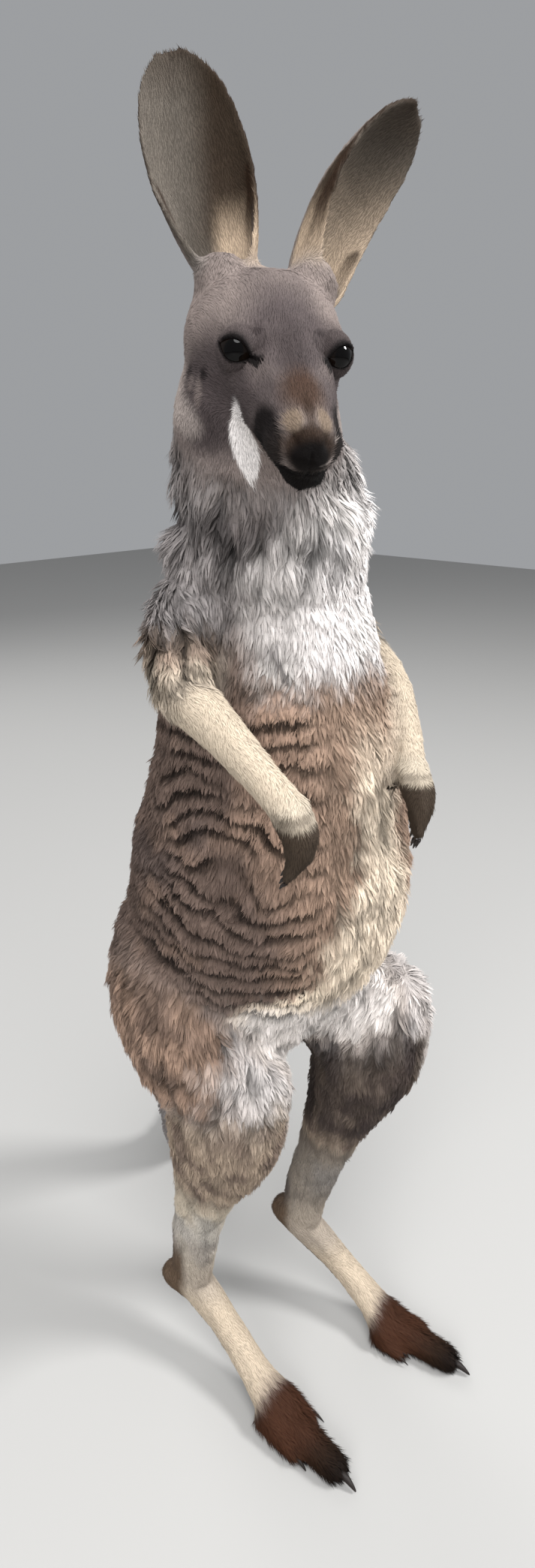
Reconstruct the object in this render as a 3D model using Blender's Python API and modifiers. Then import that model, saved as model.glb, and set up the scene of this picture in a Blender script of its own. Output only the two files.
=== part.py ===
"""Grey female red kangaroo standing tall on its toes and tail: a life-size still model.

Metres, +Z up. The animal's pelvis faces -Y, its right side is at -X. The coat is part of every outline.
The flesh is lofted limb by limb, fused by a voxel remesh and parted again by thin cuts.
"""
import math

import bpy
import bmesh
from mathutils import Matrix, Vector

# ---------------------------------------------------------------- driving sizes
GAP = 0.0003               # air left between two touching pieces
VOXEL = 0.0032             # grid on which the lofted limbs are fused
SOFTENING = 10             # smoothing passes over that grid
BODY_TRIANGLES = 2750      # head, neck, trunk, tail and legs together
ARM_TRIANGLES = 320        # each arm with its hand
RING_SIDES = 20            # facets round a lofted limb before it is fused
RING_STEPS = 5             # rings between two stations of a limb
FLOOR_TRIM = 0.0015        # how much of each sole is planed off to make its small flat

HEAD_EYES = Vector((-0.0658, -0.0715, 0.954))   # halfway between the eyes
HEAD_YAW = math.radians(37)                     # turned to the animal's right
HEAD_DROP = math.radians(33)                    # fall of the muzzle below level
HEAD_ROLL = math.radians(1.5)                   # its left side hangs a little lower
EYE_RADIUS = 0.0120
SMALLEST_PIECE = 1e-6      # cubic metres: a sliver between two cuts is dropped
FLATNESS = math.radians(0.5)   # facets that meet flatter than this are joined after the cuts

FINISHES = {  # linear colour, roughness
    "grey": ((0.26, 0.23, 0.22), 0.95),
    "brown": ((0.24, 0.18, 0.14), 0.95),
    "cream": ((0.62, 0.53, 0.44), 0.95),
    "dark": ((0.07, 0.04, 0.03), 0.90),
    "eye": ((0.010, 0.007, 0.006), 0.08),
    "claw": ((0.025, 0.020, 0.018), 0.40),
}

# ---------------------------------------------------------------- scene and helpers
for old in list(bpy.data.objects):
    bpy.data.objects.remove(old, do_unlink=True)

animal = bpy.data.collections.new("grey_red_kangaroo")
bpy.context.scene.collection.children.link(animal)
cutters = bpy.data.collections.new("cutters")
bpy.context.scene.collection.children.link(cutters)
cuts_of = {}
for fused in ("body", "arm_right", "arm_left"):
    cuts_of[fused] = bpy.data.collections.new("cuts_of_" + fused)
    cutters.children.link(cuts_of[fused])


def give_material(obj, finish):
    """Its own Principled material, in one of the model's finishes."""
    colour, roughness = FINISHES[finish]
    material = bpy.data.materials.new(obj.name)
    material.use_nodes = True
    surface = material.node_tree.nodes["Principled BSDF"]
    surface.inputs["Base Color"].default_value = (*colour, 1.0)
    surface.inputs["Roughness"].default_value = roughness
    surface.inputs["Metallic"].default_value = 0.0
    material.diffuse_color = (*colour, 1.0)
    obj.data.materials.clear()
    obj.data.materials.append(material)


def add_object(name, mesh, collection=animal):
    made = bpy.data.objects.new(name, mesh)
    collection.objects.link(made)
    if collection != animal:
        made.hide_render = True
        made.display_type = "WIRE"
    return made


def evaluated_mesh(obj):
    return bpy.data.meshes.new_from_object(obj.evaluated_get(bpy.context.evaluated_depsgraph_get()))


def replace_with_result(obj):
    mesh = evaluated_mesh(obj)
    obj.modifiers.clear()
    obj.data = mesh


def hollow_for(piece, fused):
    """A cutter that leaves the flesh hollow round `piece`, a gap wider than the piece itself."""
    hollow = add_object("hollow_for_" + piece.name, piece.data.copy(), cuts_of[fused])
    grow = hollow.modifiers.new("grow", "DISPLACE")
    grow.strength = GAP
    grow.mid_level = 0


def catmull(a, b, c, d, t):
    return 0.5 * ((2 * b) + (c - a) * t + (2 * a - 5 * b + 4 * c - d) * t * t
                  + (3 * b - a - 3 * c + d) * t ** 3)


def smooth_stations(stations, steps):
    """Rows of numbers, with `steps` rows read off a smooth curve between each two of them."""
    rows = []
    last = len(stations) - 1
    for i in range(last):
        four = [stations[max(0, i - 1)], stations[i], stations[i + 1], stations[min(last, i + 2)]]
        for k in range(steps):
            rows.append([catmull(*values, k / steps) for values in zip(*four)])
    rows.append(list(stations[-1]))
    return rows


def loft_limb(stations, side=(1, 0, 0), steps=RING_STEPS, sides=RING_SIDES, round_ends=True):
    """A closed limb through stations (x, y, z, half width along `side`, half depth across it)."""
    rows = smooth_stations(stations, steps)
    centres = [Vector(row[:3]) for row in rows]
    bm = bmesh.new()
    rings = []

    def ring(centre, along, across, deep):
        wide = (Vector(side) - along * along.dot(Vector(side))).normalized()
        thick = along.cross(wide)
        turns = [2 * math.pi * k / sides for k in range(sides)]
        rings.append([bm.verts.new(centre + wide * across * math.cos(a) + thick * deep * math.sin(a))
                      for a in turns])

    for i, (centre, row) in enumerate(zip(centres, rows)):
        along = (centres[min(i + 1, len(rows) - 1)] - centres[max(i - 1, 0)]).normalized()
        if i == 0 and round_ends:
            for rim in (0.35, 0.75):
                lift = math.sqrt(1 - rim * rim) * min(row[3:5])
                ring(centre - along * lift, along, row[3] * rim, row[4] * rim)
        ring(centre, along, row[3], row[4])
        if i == len(rows) - 1 and round_ends:
            for rim in (0.75, 0.35):
                lift = math.sqrt(1 - rim * rim) * min(row[3:5])
                ring(centre + along * lift, along, row[3] * rim, row[4] * rim)
    for low, high in zip(rings, rings[1:]):
        for k in range(sides):
            bm.faces.new((low[k], low[(k + 1) % sides], high[(k + 1) % sides], high[k]))
    bm.faces.new(rings[0][::-1])
    bm.faces.new(rings[-1])
    bmesh.ops.recalc_face_normals(bm, faces=bm.faces)
    bmesh.ops.triangulate(bm, faces=bm.faces)
    mesh = bpy.data.meshes.new("limb")
    bm.to_mesh(mesh)
    bm.free()
    return mesh


# ---------------------------------------------------------------- trunk, neck and tail
flesh = {"body": [], "arm_right": [], "arm_left": []}


def add_flesh(stations, side=(1, 0, 0), fused="body"):
    flesh[fused].append(add_object("limb", loft_limb(stations, side)))


def add_ball(centre, radii, turn=None):
    """A rounded lump of flesh; `turn` is the rotation of the frame that its radii are given in."""
    bm = bmesh.new()
    bmesh.ops.create_uvsphere(bm, u_segments=20, v_segments=12, radius=1)
    place = Matrix.Translation(centre) @ (turn or Matrix()).to_4x4() @ Matrix.Diagonal((*radii, 1))
    bmesh.ops.transform(bm, matrix=place, verts=bm.verts)
    mesh = bpy.data.meshes.new("lump")
    bm.to_mesh(mesh)
    bm.free()
    flesh["body"].append(add_object("lump", mesh))


TRUNK = [  # rump, loins, belly, ribs, shoulders: x, y, z, half width, half depth
    (0.004, 0.088, 0.412, 0.076, 0.072),
    (0.004, 0.063, 0.445, 0.098, 0.108),
    (0.006, 0.031, 0.505, 0.106, 0.124),
    (0.007, 0.006, 0.575, 0.109, 0.133),
    (0.005, -0.003, 0.645, 0.099, 0.118),
    (0.000, -0.007, 0.710, 0.088, 0.102),
    (-0.003, -0.013, 0.770, 0.080, 0.083),
    (-0.008, -0.016, 0.820, 0.070, 0.066),
]
NECK = [
    (-0.008, -0.016, 0.805, 0.073, 0.068),
    (-0.017, -0.024, 0.850, 0.072, 0.064),
    (-0.034, -0.023, 0.893, 0.064, 0.058),
    (-0.044, -0.030, 0.932, 0.054, 0.052),
]
TAIL = [
    (0.000, 0.110, 0.445, 0.060, 0.060),
    (0.008, 0.165, 0.385, 0.047, 0.050),
    (0.036, 0.195, 0.290, 0.037, 0.041),
    (0.064, 0.208, 0.180, 0.032, 0.035),
    (0.084, 0.228, 0.080, 0.028, 0.030),
    (0.112, 0.258, 0.026, 0.026, 0.027),
    (0.175, 0.296, 0.020, 0.022, 0.022),
    (0.265, 0.350, 0.015, 0.017, 0.0165),
    (0.355, 0.404, 0.009, 0.010, 0.0105),
]
add_flesh(TRUNK)
add_ball(Vector((0.006, 0.014, 0.404)), (0.046, 0.050, 0.034))     # between the thighs
add_ball(Vector((-0.052, 0.004, 0.828)), (0.038, 0.042, 0.040))    # shaggy base of the neck
add_flesh(NECK)
add_flesh(TAIL)

# ---------------------------------------------------------------- hind legs
THIGH_RIGHT = [
    (-0.048, 0.072, 0.510, 0.044, 0.064),
    (-0.059, 0.058, 0.450, 0.055, 0.084),
    (-0.063, 0.024, 0.402, 0.053, 0.084),
    (-0.057, -0.018, 0.382, 0.047, 0.060),
]
SHIN_RIGHT = [
    (-0.055, -0.018, 0.395, 0.046, 0.054),
    (-0.055, 0.000, 0.345, 0.048, 0.066),
    (-0.056, 0.015, 0.290, 0.042, 0.058),
    (-0.059, 0.028, 0.242, 0.028, 0.040),
    (-0.061, 0.038, 0.190, 0.019, 0.030),
    (-0.062, 0.047, 0.140, 0.016, 0.029),
    (-0.062, 0.050, 0.100, 0.017, 0.025),
]
FOOT_RIGHT = [
    (-0.070, 0.070, 0.084, 0.016, 0.016),
    (-0.062, 0.044, 0.080, 0.018, 0.021),
    (-0.059, 0.002, 0.052, 0.016, 0.015),
    (-0.064, -0.046, 0.028, 0.018, 0.014),
    (-0.066, -0.080, 0.013, 0.026, 0.014),
]
THIGH_LEFT = [
    (0.052, 0.072, 0.510, 0.046, 0.066),
    (0.064, 0.046, 0.455, 0.056, 0.082),
    (0.076, -0.004, 0.416, 0.057, 0.076),
    (0.085, -0.063, 0.410, 0.049, 0.059),
]
SHIN_LEFT = [
    (0.088, -0.070, 0.420, 0.045, 0.052),
    (0.080, -0.060, 0.366, 0.047, 0.058),
    (0.076, -0.044, 0.312, 0.036, 0.050),
    (0.068, -0.030, 0.258, 0.026, 0.036),
    (0.062, -0.018, 0.205, 0.018, 0.028),
    (0.057, -0.006, 0.158, 0.016, 0.027),
    (0.055, -0.003, 0.122, 0.017, 0.024),
]
FOOT_LEFT = [
    (0.050, 0.020, 0.114, 0.016, 0.016),
    (0.056, -0.004, 0.104, 0.018, 0.021),
    (0.072, -0.040, 0.064, 0.016, 0.015),
    (0.078, -0.082, 0.032, 0.018, 0.014),
    (0.078, -0.108, 0.013, 0.026, 0.014),
]
for leg in (THIGH_RIGHT, SHIN_RIGHT, FOOT_RIGHT, THIGH_LEFT, SHIN_LEFT, FOOT_LEFT):
    add_flesh(leg)

# ---------------------------------------------------------------- toes
BALL_RIGHT = Vector((-0.066, -0.074, 0.0))
BALL_LEFT = Vector((0.078, -0.102, 0.0))
TOES_TURN = {"right": math.radians(1), "left": math.radians(-11)}   # heading, from straight ahead
TOES = {  # sideways from the middle of the ball (outwards is +), ahead of it: start and end; radii
    "fourth": ((0.002, 0.000), (0.000, 0.074), 0.0180, 0.0135),
    "fifth": ((0.017, -0.006), (0.018, 0.036), 0.0105, 0.0105),
    "grooming": ((-0.018, 0.000), (-0.021, 0.026), 0.0085, 0.0085),
}


def foot_point(side, outwards, ahead, height):
    """A point of the foot on `side`, given from the middle of its ball."""
    sign = -1 if side == "right" else 1
    turned = Matrix.Rotation(-TOES_TURN[side], 3, "Z") @ Vector((sign * outwards, -ahead, height))
    return (BALL_RIGHT if side == "right" else BALL_LEFT) + turned


for side in ("right", "left"):
    for start, end, wide, deep in TOES.values():
        row = []
        for step, height in ((0.0, 1.05), (0.55, 0.92), (1.0, 0.78)):
            outwards = start[0] + (end[0] - start[0]) * step
            ahead = start[1] + (end[1] - start[1]) * step
            point = foot_point(side, outwards, ahead, deep * height - FLOOR_TRIM)
            row.append((*point, wide * (1 - 0.22 * step), deep * (1 - 0.22 * step)))
        add_flesh(row)

# ---------------------------------------------------------------- arms
ARM_RIGHT = [
    (-0.068, 0.000, 0.800, 0.026, 0.036),
    (-0.090, 0.000, 0.772, 0.026, 0.030),
    (-0.108, -0.024, 0.750, 0.021, 0.021),
    (-0.116, -0.066, 0.733, 0.0165, 0.0165),
    (-0.122, -0.104, 0.715, 0.0135, 0.0135),
    (-0.124, -0.128, 0.702, 0.0135, 0.0135),
]
ARM_LEFT = [
    (0.050, -0.006, 0.805, 0.026, 0.036),
    (0.074, -0.006, 0.776, 0.025, 0.030),
    (0.090, -0.022, 0.749, 0.020, 0.021),
    (0.073, -0.066, 0.729, 0.0165, 0.0165),
    (0.043, -0.102, 0.703, 0.0135, 0.0135),
    (0.021, -0.120, 0.686, 0.0135, 0.0135),
]
HAND_RIGHT = [
    (-0.124, -0.130, 0.700, 0.0150, 0.0140),
    (-0.124, -0.138, 0.687, 0.0175, 0.0125),
    (-0.123, -0.137, 0.676, 0.0165, 0.0105),
]
HAND_LEFT = [
    (0.021, -0.122, 0.684, 0.0150, 0.0140),
    (0.014, -0.135, 0.670, 0.0175, 0.0125),
    (0.010, -0.139, 0.658, 0.0165, 0.0105),
]
for arm in (ARM_RIGHT, HAND_RIGHT):
    add_flesh(arm, side=(0.75, 0.66, 0), fused="arm_right")
for arm in (ARM_LEFT, HAND_LEFT):
    add_flesh(arm, side=(0.75, 0.66, 0), fused="arm_left")

# ---------------------------------------------------------------- head
turn_head = (Matrix.Rotation(-HEAD_YAW, 3, "Z") @ Matrix.Rotation(HEAD_DROP, 3, "X")
             @ Matrix.Rotation(HEAD_ROLL, 3, "Y"))


def head_point(side, ahead, up):
    """From the animal's left, ahead along the muzzle and up, all from between the eyes."""
    return HEAD_EYES + turn_head @ Vector((side, -ahead, up))


HEAD = [  # ahead of the eyes, aside to the left, half width, top, bottom
    (-0.088, -0.004, 0.028, -0.004, -0.036),
    (-0.078, -0.004, 0.039, 0.008, -0.048),
    (-0.060, -0.004, 0.047, 0.019, -0.057),
    (-0.040, -0.003, 0.051, 0.0245, -0.061),
    (-0.018, -0.002, 0.0475, 0.024, -0.059),
    (0.004, 0.000, 0.038, 0.0195, -0.051),
    (0.026, 0.000, 0.0300, 0.0145, -0.044),
    (0.048, 0.000, 0.0250, 0.0115, -0.038),
    (0.066, 0.000, 0.0225, 0.0100, -0.034),
    (0.078, 0.000, 0.0190, 0.0080, -0.030),
]
add_flesh([(*head_point(aside, ahead, (top + bottom) / 2), half, (top - bottom) / 2)
           for ahead, aside, half, top, bottom in HEAD], side=turn_head @ Vector((1, 0, 0)))
for sign in (-1, 1):
    add_ball(head_point(0.026 * sign, -0.004, 0.008), (0.012, 0.019, 0.007), turn_head)      # brow
    add_ball(head_point(0.028 * sign, -0.064, 0.006), (0.019, 0.018, 0.018), turn_head)      # ear root
    add_ball(head_point(0.011 * sign, 0.074, -0.012), (0.0125, 0.013, 0.014), turn_head)     # upper lip
add_ball(head_point(0, 0.078, -0.002), (0.0125, 0.011, 0.0105), turn_head)                   # nose pad
add_ball(head_point(0.003, 0.072, -0.031), (0.0150, 0.014, 0.0105), turn_head)               # chin

# ---------------------------------------------------------------- ears
EAR_THICK = 0.0036
EAR_ROWS = 11
EAR_COLUMNS = 9
EAR_SHAPE = [  # along the ear, width round its curve, angle that the curve turns through
    (0.00, 0.066, 5.0),
    (0.12, 0.080, 4.4),
    (0.30, 0.088, 3.4),
    (0.50, 0.084, 2.6),
    (0.68, 0.075, 2.1),
    (0.82, 0.061, 1.8),
    (0.93, 0.041, 1.5),
    (1.00, 0.014, 1.4),
]
EARS = {  # root, tip, direction that the hollow faces, backward bow of the middle
    "right": ((-0.044, -0.010, 0.984), (-0.0525, 0.031, 1.118), (-0.62, -0.78, 0), 0.012),
    "left": ((-0.0155, -0.028, 0.984), (0.061, -0.070, 1.095), (0.30, -0.95, 0), 0.020),
}


def ear_sheet(root, tip, faces, bow):
    """The ear's open middle surface."""
    root, tip, faces = Vector(root), Vector(tip), Vector(faces)
    along = (tip - root).normalized()
    hollow = (faces - along * along.dot(faces)).normalized()
    across = along.cross(hollow)
    bm = bmesh.new()
    rows = []
    for i in range(EAR_ROWS):
        step = 1 - (1 - i / (EAR_ROWS - 1)) ** 1.4
        width, angle = ear_size(step)
        radius = width / angle
        spine = root + (tip - root) * step - hollow * bow * math.sin(math.pi * step)
        row = []
        for k in range(EAR_COLUMNS):
            turn = angle * (k / (EAR_COLUMNS - 1) - 0.5)
            row.append(bm.verts.new(spine + across * radius * math.sin(turn)
                                    + hollow * radius * (1 - math.cos(turn))))
        rows.append(row)
    for low, high in zip(rows, rows[1:]):
        for k in range(EAR_COLUMNS - 1):
            bm.faces.new((low[k], low[k + 1], high[k + 1], high[k]))
    mesh = bpy.data.meshes.new("ear")
    bm.to_mesh(mesh)
    bm.free()
    return mesh


def ear_size(step):
    for low, high in zip(EAR_SHAPE, EAR_SHAPE[1:]):
        if step <= high[0]:
            blend = (step - low[0]) / (high[0] - low[0])
            blend = blend * blend * (3 - 2 * blend) if low[0] > 0.9 else blend
            return [a + (b - a) * blend for a, b in zip(low[1:], high[1:])]
    return EAR_SHAPE[-1][1:]


for side, (root, tip, faces, bow) in EARS.items():
    ear = add_object("ear_" + side, ear_sheet(root, tip, faces, bow))
    shell = ear.modifiers.new("thickness", "SOLIDIFY")
    shell.thickness = EAR_THICK
    shell.offset = 0
    shell.use_even_offset = True
    ear.modifiers.new("flat faces", "TRIANGULATE")
    replace_with_result(ear)
    give_material(ear, "grey")
    hollow_for(ear, "body")

# ---------------------------------------------------------------- eyes and claws
EYE_ASIDE = 0.0275
for side, sign in (("right", -1), ("left", 1)):
    bm = bmesh.new()
    bmesh.ops.create_uvsphere(bm, u_segments=14, v_segments=8, radius=EYE_RADIUS)
    bmesh.ops.translate(bm, verts=bm.verts, vec=head_point(EYE_ASIDE * sign, 0.006, 0.0005))
    bmesh.ops.triangulate(bm, faces=bm.faces)
    mesh = bpy.data.meshes.new("eye")
    bm.to_mesh(mesh)
    bm.free()
    eye = add_object("eye_" + side, mesh)
    give_material(eye, "eye")
    hollow_for(eye, "body")


def add_claw(name, root, tip, radius, fused):
    """A bent cone that starts inside the toe."""
    dip = Vector((0, 0, -0.12 * (tip - root).length))
    rows = [(*root, radius, radius * 0.9),
            (*(root.lerp(tip, 0.5) - dip), radius * 0.8, radius * 0.72),
            (*tip, radius * 0.22, radius * 0.22)]
    side = (tip - root).cross(Vector((0, 0, 1)))
    claw = add_object(name, loft_limb(rows, side=side, steps=1, sides=6, round_ends=False))
    give_material(claw, "claw")
    hollow_for(claw, fused)


TOE_CLAWS = {  # outwards, ahead, height of the root; outwards, ahead, height of the tip; radius
    "fourth": ((0.000, 0.076, 0.0095), (0.000, 0.0980, 0.0030), 0.0050),
    "fifth": ((0.018, 0.038, 0.0075), (0.019, 0.0530, 0.0030), 0.0032),
    "second": ((-0.0235, 0.026, 0.0075), (-0.0250, 0.0390, 0.0040), 0.0019),
    "third": ((-0.0175, 0.026, 0.0080), (-0.0180, 0.0390, 0.0045), 0.0019),
}
for side in ("right", "left"):
    for toe, (root, tip, radius) in TOE_CLAWS.items():
        add_claw(toe + "_claw_" + side, foot_point(side, *root), foot_point(side, *tip), radius, "body")

HANDS = {  # middle of the knuckles, way that the fingers hang, way from the first finger to the fifth
    "right": (Vector((-0.123, -0.135, 0.672)), Vector((0.10, 0.55, -0.83)), Vector((0.80, 0.60, 0.05))),
    "left": (Vector((0.009, -0.139, 0.655)), Vector((0.00, 0.12, -0.99)), Vector((0.75, 0.66, 0.05))),
}
FINGERS = ((-0.0135, 0.008), (-0.0070, 0.013), (0.0, 0.0155), (0.0070, 0.013), (0.0130, 0.009))
FINGER_RADIUS = 0.0045
FINGER_CLAW = 0.0105
for side, (knuckles, hang, spread) in HANDS.items():
    hang = hang.normalized()
    spread = (spread - hang * spread.dot(hang)).normalized()
    for number, (aside, length) in enumerate(FINGERS, start=1):
        start = knuckles + spread * aside * 0.8 - hang * 0.006
        end = knuckles + spread * aside * 1.15 + hang * length
        add_flesh([(*start, FINGER_RADIUS * 1.2, FINGER_RADIUS * 1.2), (*end, FINGER_RADIUS, FINGER_RADIUS)],
                  side=spread, fused="arm_" + side)
        curl = (hang + Vector((0, 0.20, 0))).normalized()
        add_claw(f"finger_claw_{number}_{side}", end + hang * 0.002, end + curl * FINGER_CLAW, 0.0021,
                 "arm_" + side)

# ---------------------------------------------------------------- fusing the flesh
def fuse(name, limbs, triangles):
    """One closed skin round all the limbs, softened where they run together and lightly faceted."""
    together = bmesh.new()
    for limb in limbs:
        together.from_mesh(limb.data)
        bpy.data.objects.remove(limb, do_unlink=True)
    mesh = bpy.data.meshes.new(name)
    together.to_mesh(mesh)
    together.free()
    fused = add_object(name, mesh)
    grid = fused.modifiers.new("fuse", "REMESH")
    grid.mode = "VOXEL"
    grid.voxel_size = VOXEL
    softened = fused.modifiers.new("soften", "SMOOTH")
    softened.factor = 0.5
    softened.iterations = SOFTENING
    fewer = fused.modifiers.new("fewer", "DECIMATE")
    fewer.ratio = 1.0
    fine = sum(len(face.vertices) - 2 for face in evaluated_mesh(fused).polygons)
    fewer.ratio = triangles / fine
    fused.modifiers.new("flat faces", "TRIANGULATE")
    replace_with_result(fused)
    return fused


body = fuse("body", flesh["body"], BODY_TRIANGLES)
arms = {side: fuse("arm_" + side, flesh["arm_" + side], ARM_TRIANGLES) for side in ("right", "left")}

# the soles and the tail are planed to one level
planed = bmesh.new()
planed.from_mesh(body.data)
whole = planed.verts[:] + planed.edges[:] + planed.faces[:]
cut = bmesh.ops.bisect_plane(planed, geom=whole, plane_co=(0, 0, 0), plane_no=(0, 0, -1), clear_outer=True)
rim = [part for part in cut["geom_cut"] if isinstance(part, bmesh.types.BMEdge)]
bmesh.ops.holes_fill(planed, edges=rim, sides=0)
bmesh.ops.triangulate(planed, faces=planed.faces)
planed.to_mesh(body.data)
planed.free()

# the arms lie in hollows of the trunk, a gap deeper than the arms themselves
for arm in arms.values():
    hollow_for(arm, "body")


# ---------------------------------------------------------------- thin cuts between the named pieces
def add_cut(fused, centre, normal, wide, deep, across=(1, 0, 0)):
    """A slab as thick as the gap: `wide` along the way `across`, `deep` square to it."""
    normal = Vector(normal).normalized()
    side = (Vector(across) - normal * normal.dot(Vector(across))).normalized()
    place = Matrix((side, normal.cross(side), normal)).transposed().to_4x4()
    place.translation = centre
    bm = bmesh.new()
    bmesh.ops.create_cube(bm, size=1)
    bmesh.ops.transform(bm, matrix=place @ Matrix.Diagonal((wide, deep, GAP, 1)), verts=bm.verts)
    mesh = bpy.data.meshes.new("cut")
    bm.to_mesh(mesh)
    bm.free()
    add_object("cut", mesh, cuts_of[fused])


add_cut("body", (-0.046, -0.022, 0.915), (-0.36, -0.45, 0.82), 0.26, 0.22)        # head from neck
add_cut("body", (-0.012, -0.016, 0.838), (-0.15, -0.10, 0.98), 0.30, 0.30)        # neck from chest
add_cut("body", (0.002, 0.000, 0.690), (0.0, 0.10, 1.0), 0.30, 0.32)              # chest from belly
add_cut("body", (0.005, 0.020, 0.550), (0.0, 0.20, 1.0), 0.40, 0.40)              # belly from rump
add_cut("body", (0.002, 0.154, 0.402), (0.05, 0.78, -0.60), 0.24, 0.18)           # rump from tail
add_cut("body", (0.052, 0.202, 0.235), (0.30, 0.12, -1.0), 0.12, 0.12)            # lengths of the tail
add_cut("body", (0.150, 0.280, 0.022), (0.85, 0.52, -0.08), 0.10, 0.10)
add_cut("body", (-0.058, 0.030, 0.432), (0.178, 0.0, 0.128), 0.228, 0.36)         # thighs from rump
add_cut("body", (0.064, 0.030, 0.432), (-0.178, 0.0, 0.128), 0.228, 0.36)
add_cut("body", (-0.062, 0.010, 0.352), (0.0, 0.29, 0.95), 0.150, 0.24)           # knees
add_cut("body", (0.084, -0.040, 0.366), (-0.06, 0.38, 0.92), 0.140, 0.22)
add_cut("body", (-0.064, 0.052, 0.106), (0.0, 0.40, 0.90), 0.060, 0.10)           # ankles
add_cut("body", (0.054, 0.000, 0.130), (0.0, 0.40, 0.90), 0.060, 0.10)
add_cut("body", (-0.066, -0.062, 0.020), (0.02, -1.0, -0.20), 0.090, 0.08)        # toes
add_cut("body", (0.078, -0.092, 0.022), (0.19, -0.98, -0.20), 0.090, 0.08)
add_cut("arm_right", (-0.110, -0.030, 0.748), (-0.20, -0.75, -0.60), 0.070, 0.070)   # elbows
add_cut("arm_left", (0.089, -0.028, 0.747), (-0.20, -0.75, -0.60), 0.070, 0.070)
add_cut("arm_right", (-0.124, -0.128, 0.703), (0.0, -0.75, -0.66), 0.060, 0.060)     # wrists
add_cut("arm_left", (0.022, -0.119, 0.688), (-0.45, -0.55, -0.70), 0.060, 0.060)

PIECES = {  # a point near the middle of each piece of flesh, and the colour of its coat
    "head": ((-0.070, -0.070, 0.945), "grey"),
    "neck": ((-0.025, -0.020, 0.875), "grey"),
    "chest": ((0.000, -0.010, 0.765), "grey"),
    "belly": ((0.005, 0.000, 0.620), "brown"),
    "rump": ((0.005, 0.060, 0.480), "brown"),
    "tail_base": ((0.020, 0.185, 0.320), "brown"),
    "tail_middle": ((0.080, 0.225, 0.110), "grey"),
    "tail_tip": ((0.240, 0.330, 0.020), "grey"),
    "thigh_right": ((-0.065, 0.030, 0.430), "brown"),
    "thigh_left": ((0.080, 0.000, 0.440), "brown"),
    "shin_right": ((-0.058, 0.015, 0.260), "cream"),
    "shin_left": ((0.075, -0.040, 0.280), "cream"),
    "foot_right": ((-0.062, 0.010, 0.060), "cream"),
    "foot_left": ((0.068, -0.040, 0.070), "cream"),
    "toes_right": ((-0.066, -0.100, 0.012), "dark"),
    "toes_left": ((0.082, -0.130, 0.012), "dark"),
    "upper_arm_right": ((-0.090, 0.000, 0.780), "grey"),
    "upper_arm_left": ((0.072, -0.005, 0.780), "grey"),
    "forearm_right": ((-0.120, -0.080, 0.725), "cream"),
    "forearm_left": ((0.055, -0.080, 0.715), "cream"),
    "hand_right": ((-0.123, -0.138, 0.678), "dark"),
    "hand_left": ((0.013, -0.132, 0.660), "dark"),
}


def cut_apart(fused):
    """Cut the fused flesh with its collection of cutters and make an object of each loose piece."""
    apart = fused.modifiers.new("cuts", "BOOLEAN")
    apart.operand_type = "COLLECTION"
    apart.collection = cuts_of[fused.name]
    apart.operation = "DIFFERENCE"
    apart.solver = "EXACT"
    apart.use_self = True
    replace_with_result(fused)
    bm = bmesh.new()
    bm.from_mesh(fused.data)
    left = set(bm.verts)
    while left:
        island = set()
        edge = {left.pop()}
        while edge:
            island |= edge
            edge = {link.other_vert(vert) for vert in edge for link in vert.link_edges} - island
        left -= island
        middle = sum((vert.co for vert in island), Vector()) / len(island)
        name = min(PIECES, key=lambda piece: (Vector(PIECES[piece][0]) - middle).length)
        piece = bm.copy()
        kept = {vert.index for vert in island}
        piece.verts.ensure_lookup_table()
        others = [vert for vert in piece.verts if vert.index not in kept]
        bmesh.ops.delete(piece, geom=others, context="VERTS")
        if piece.calc_volume() > SMALLEST_PIECE:
            bmesh.ops.dissolve_limit(piece, angle_limit=FLATNESS, verts=piece.verts, edges=piece.edges)
            bmesh.ops.triangulate(piece, faces=piece.faces)
            mesh = bpy.data.meshes.new(name)
            piece.to_mesh(mesh)
            give_material(add_object(name, mesh), PIECES[name][1])
        piece.free()
    bm.free()
    bpy.data.objects.remove(fused, do_unlink=True)


for fused in (body, *arms.values()):
    cut_apart(fused)

# ---------------------------------------------------------------- the origin goes under the middle of the box
corners = []
for piece in animal.objects:
    replace_with_result(piece)
    corners += [vert.co for vert in piece.data.vertices]
spans = [[corner[axis] for corner in corners] for axis in (0, 1)]
middle = Vector([(min(span) + max(span)) / 2 for span in spans] + [0])
for piece in animal.objects:
    piece.data.transform(Matrix.Translation(-middle))
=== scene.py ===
"""A grey female red kangaroo, standing: skin, coat, ears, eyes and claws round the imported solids.

Metres, +Z up. The pelvis faces -Y and the animal's right side is at -X, as in the solids.
"""
import math

import bmesh
import bpy
import numpy as np
from mathutils import Matrix, Vector
from mathutils.bvhtree import BVHTree
from mathutils.kdtree import KDTree


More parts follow.
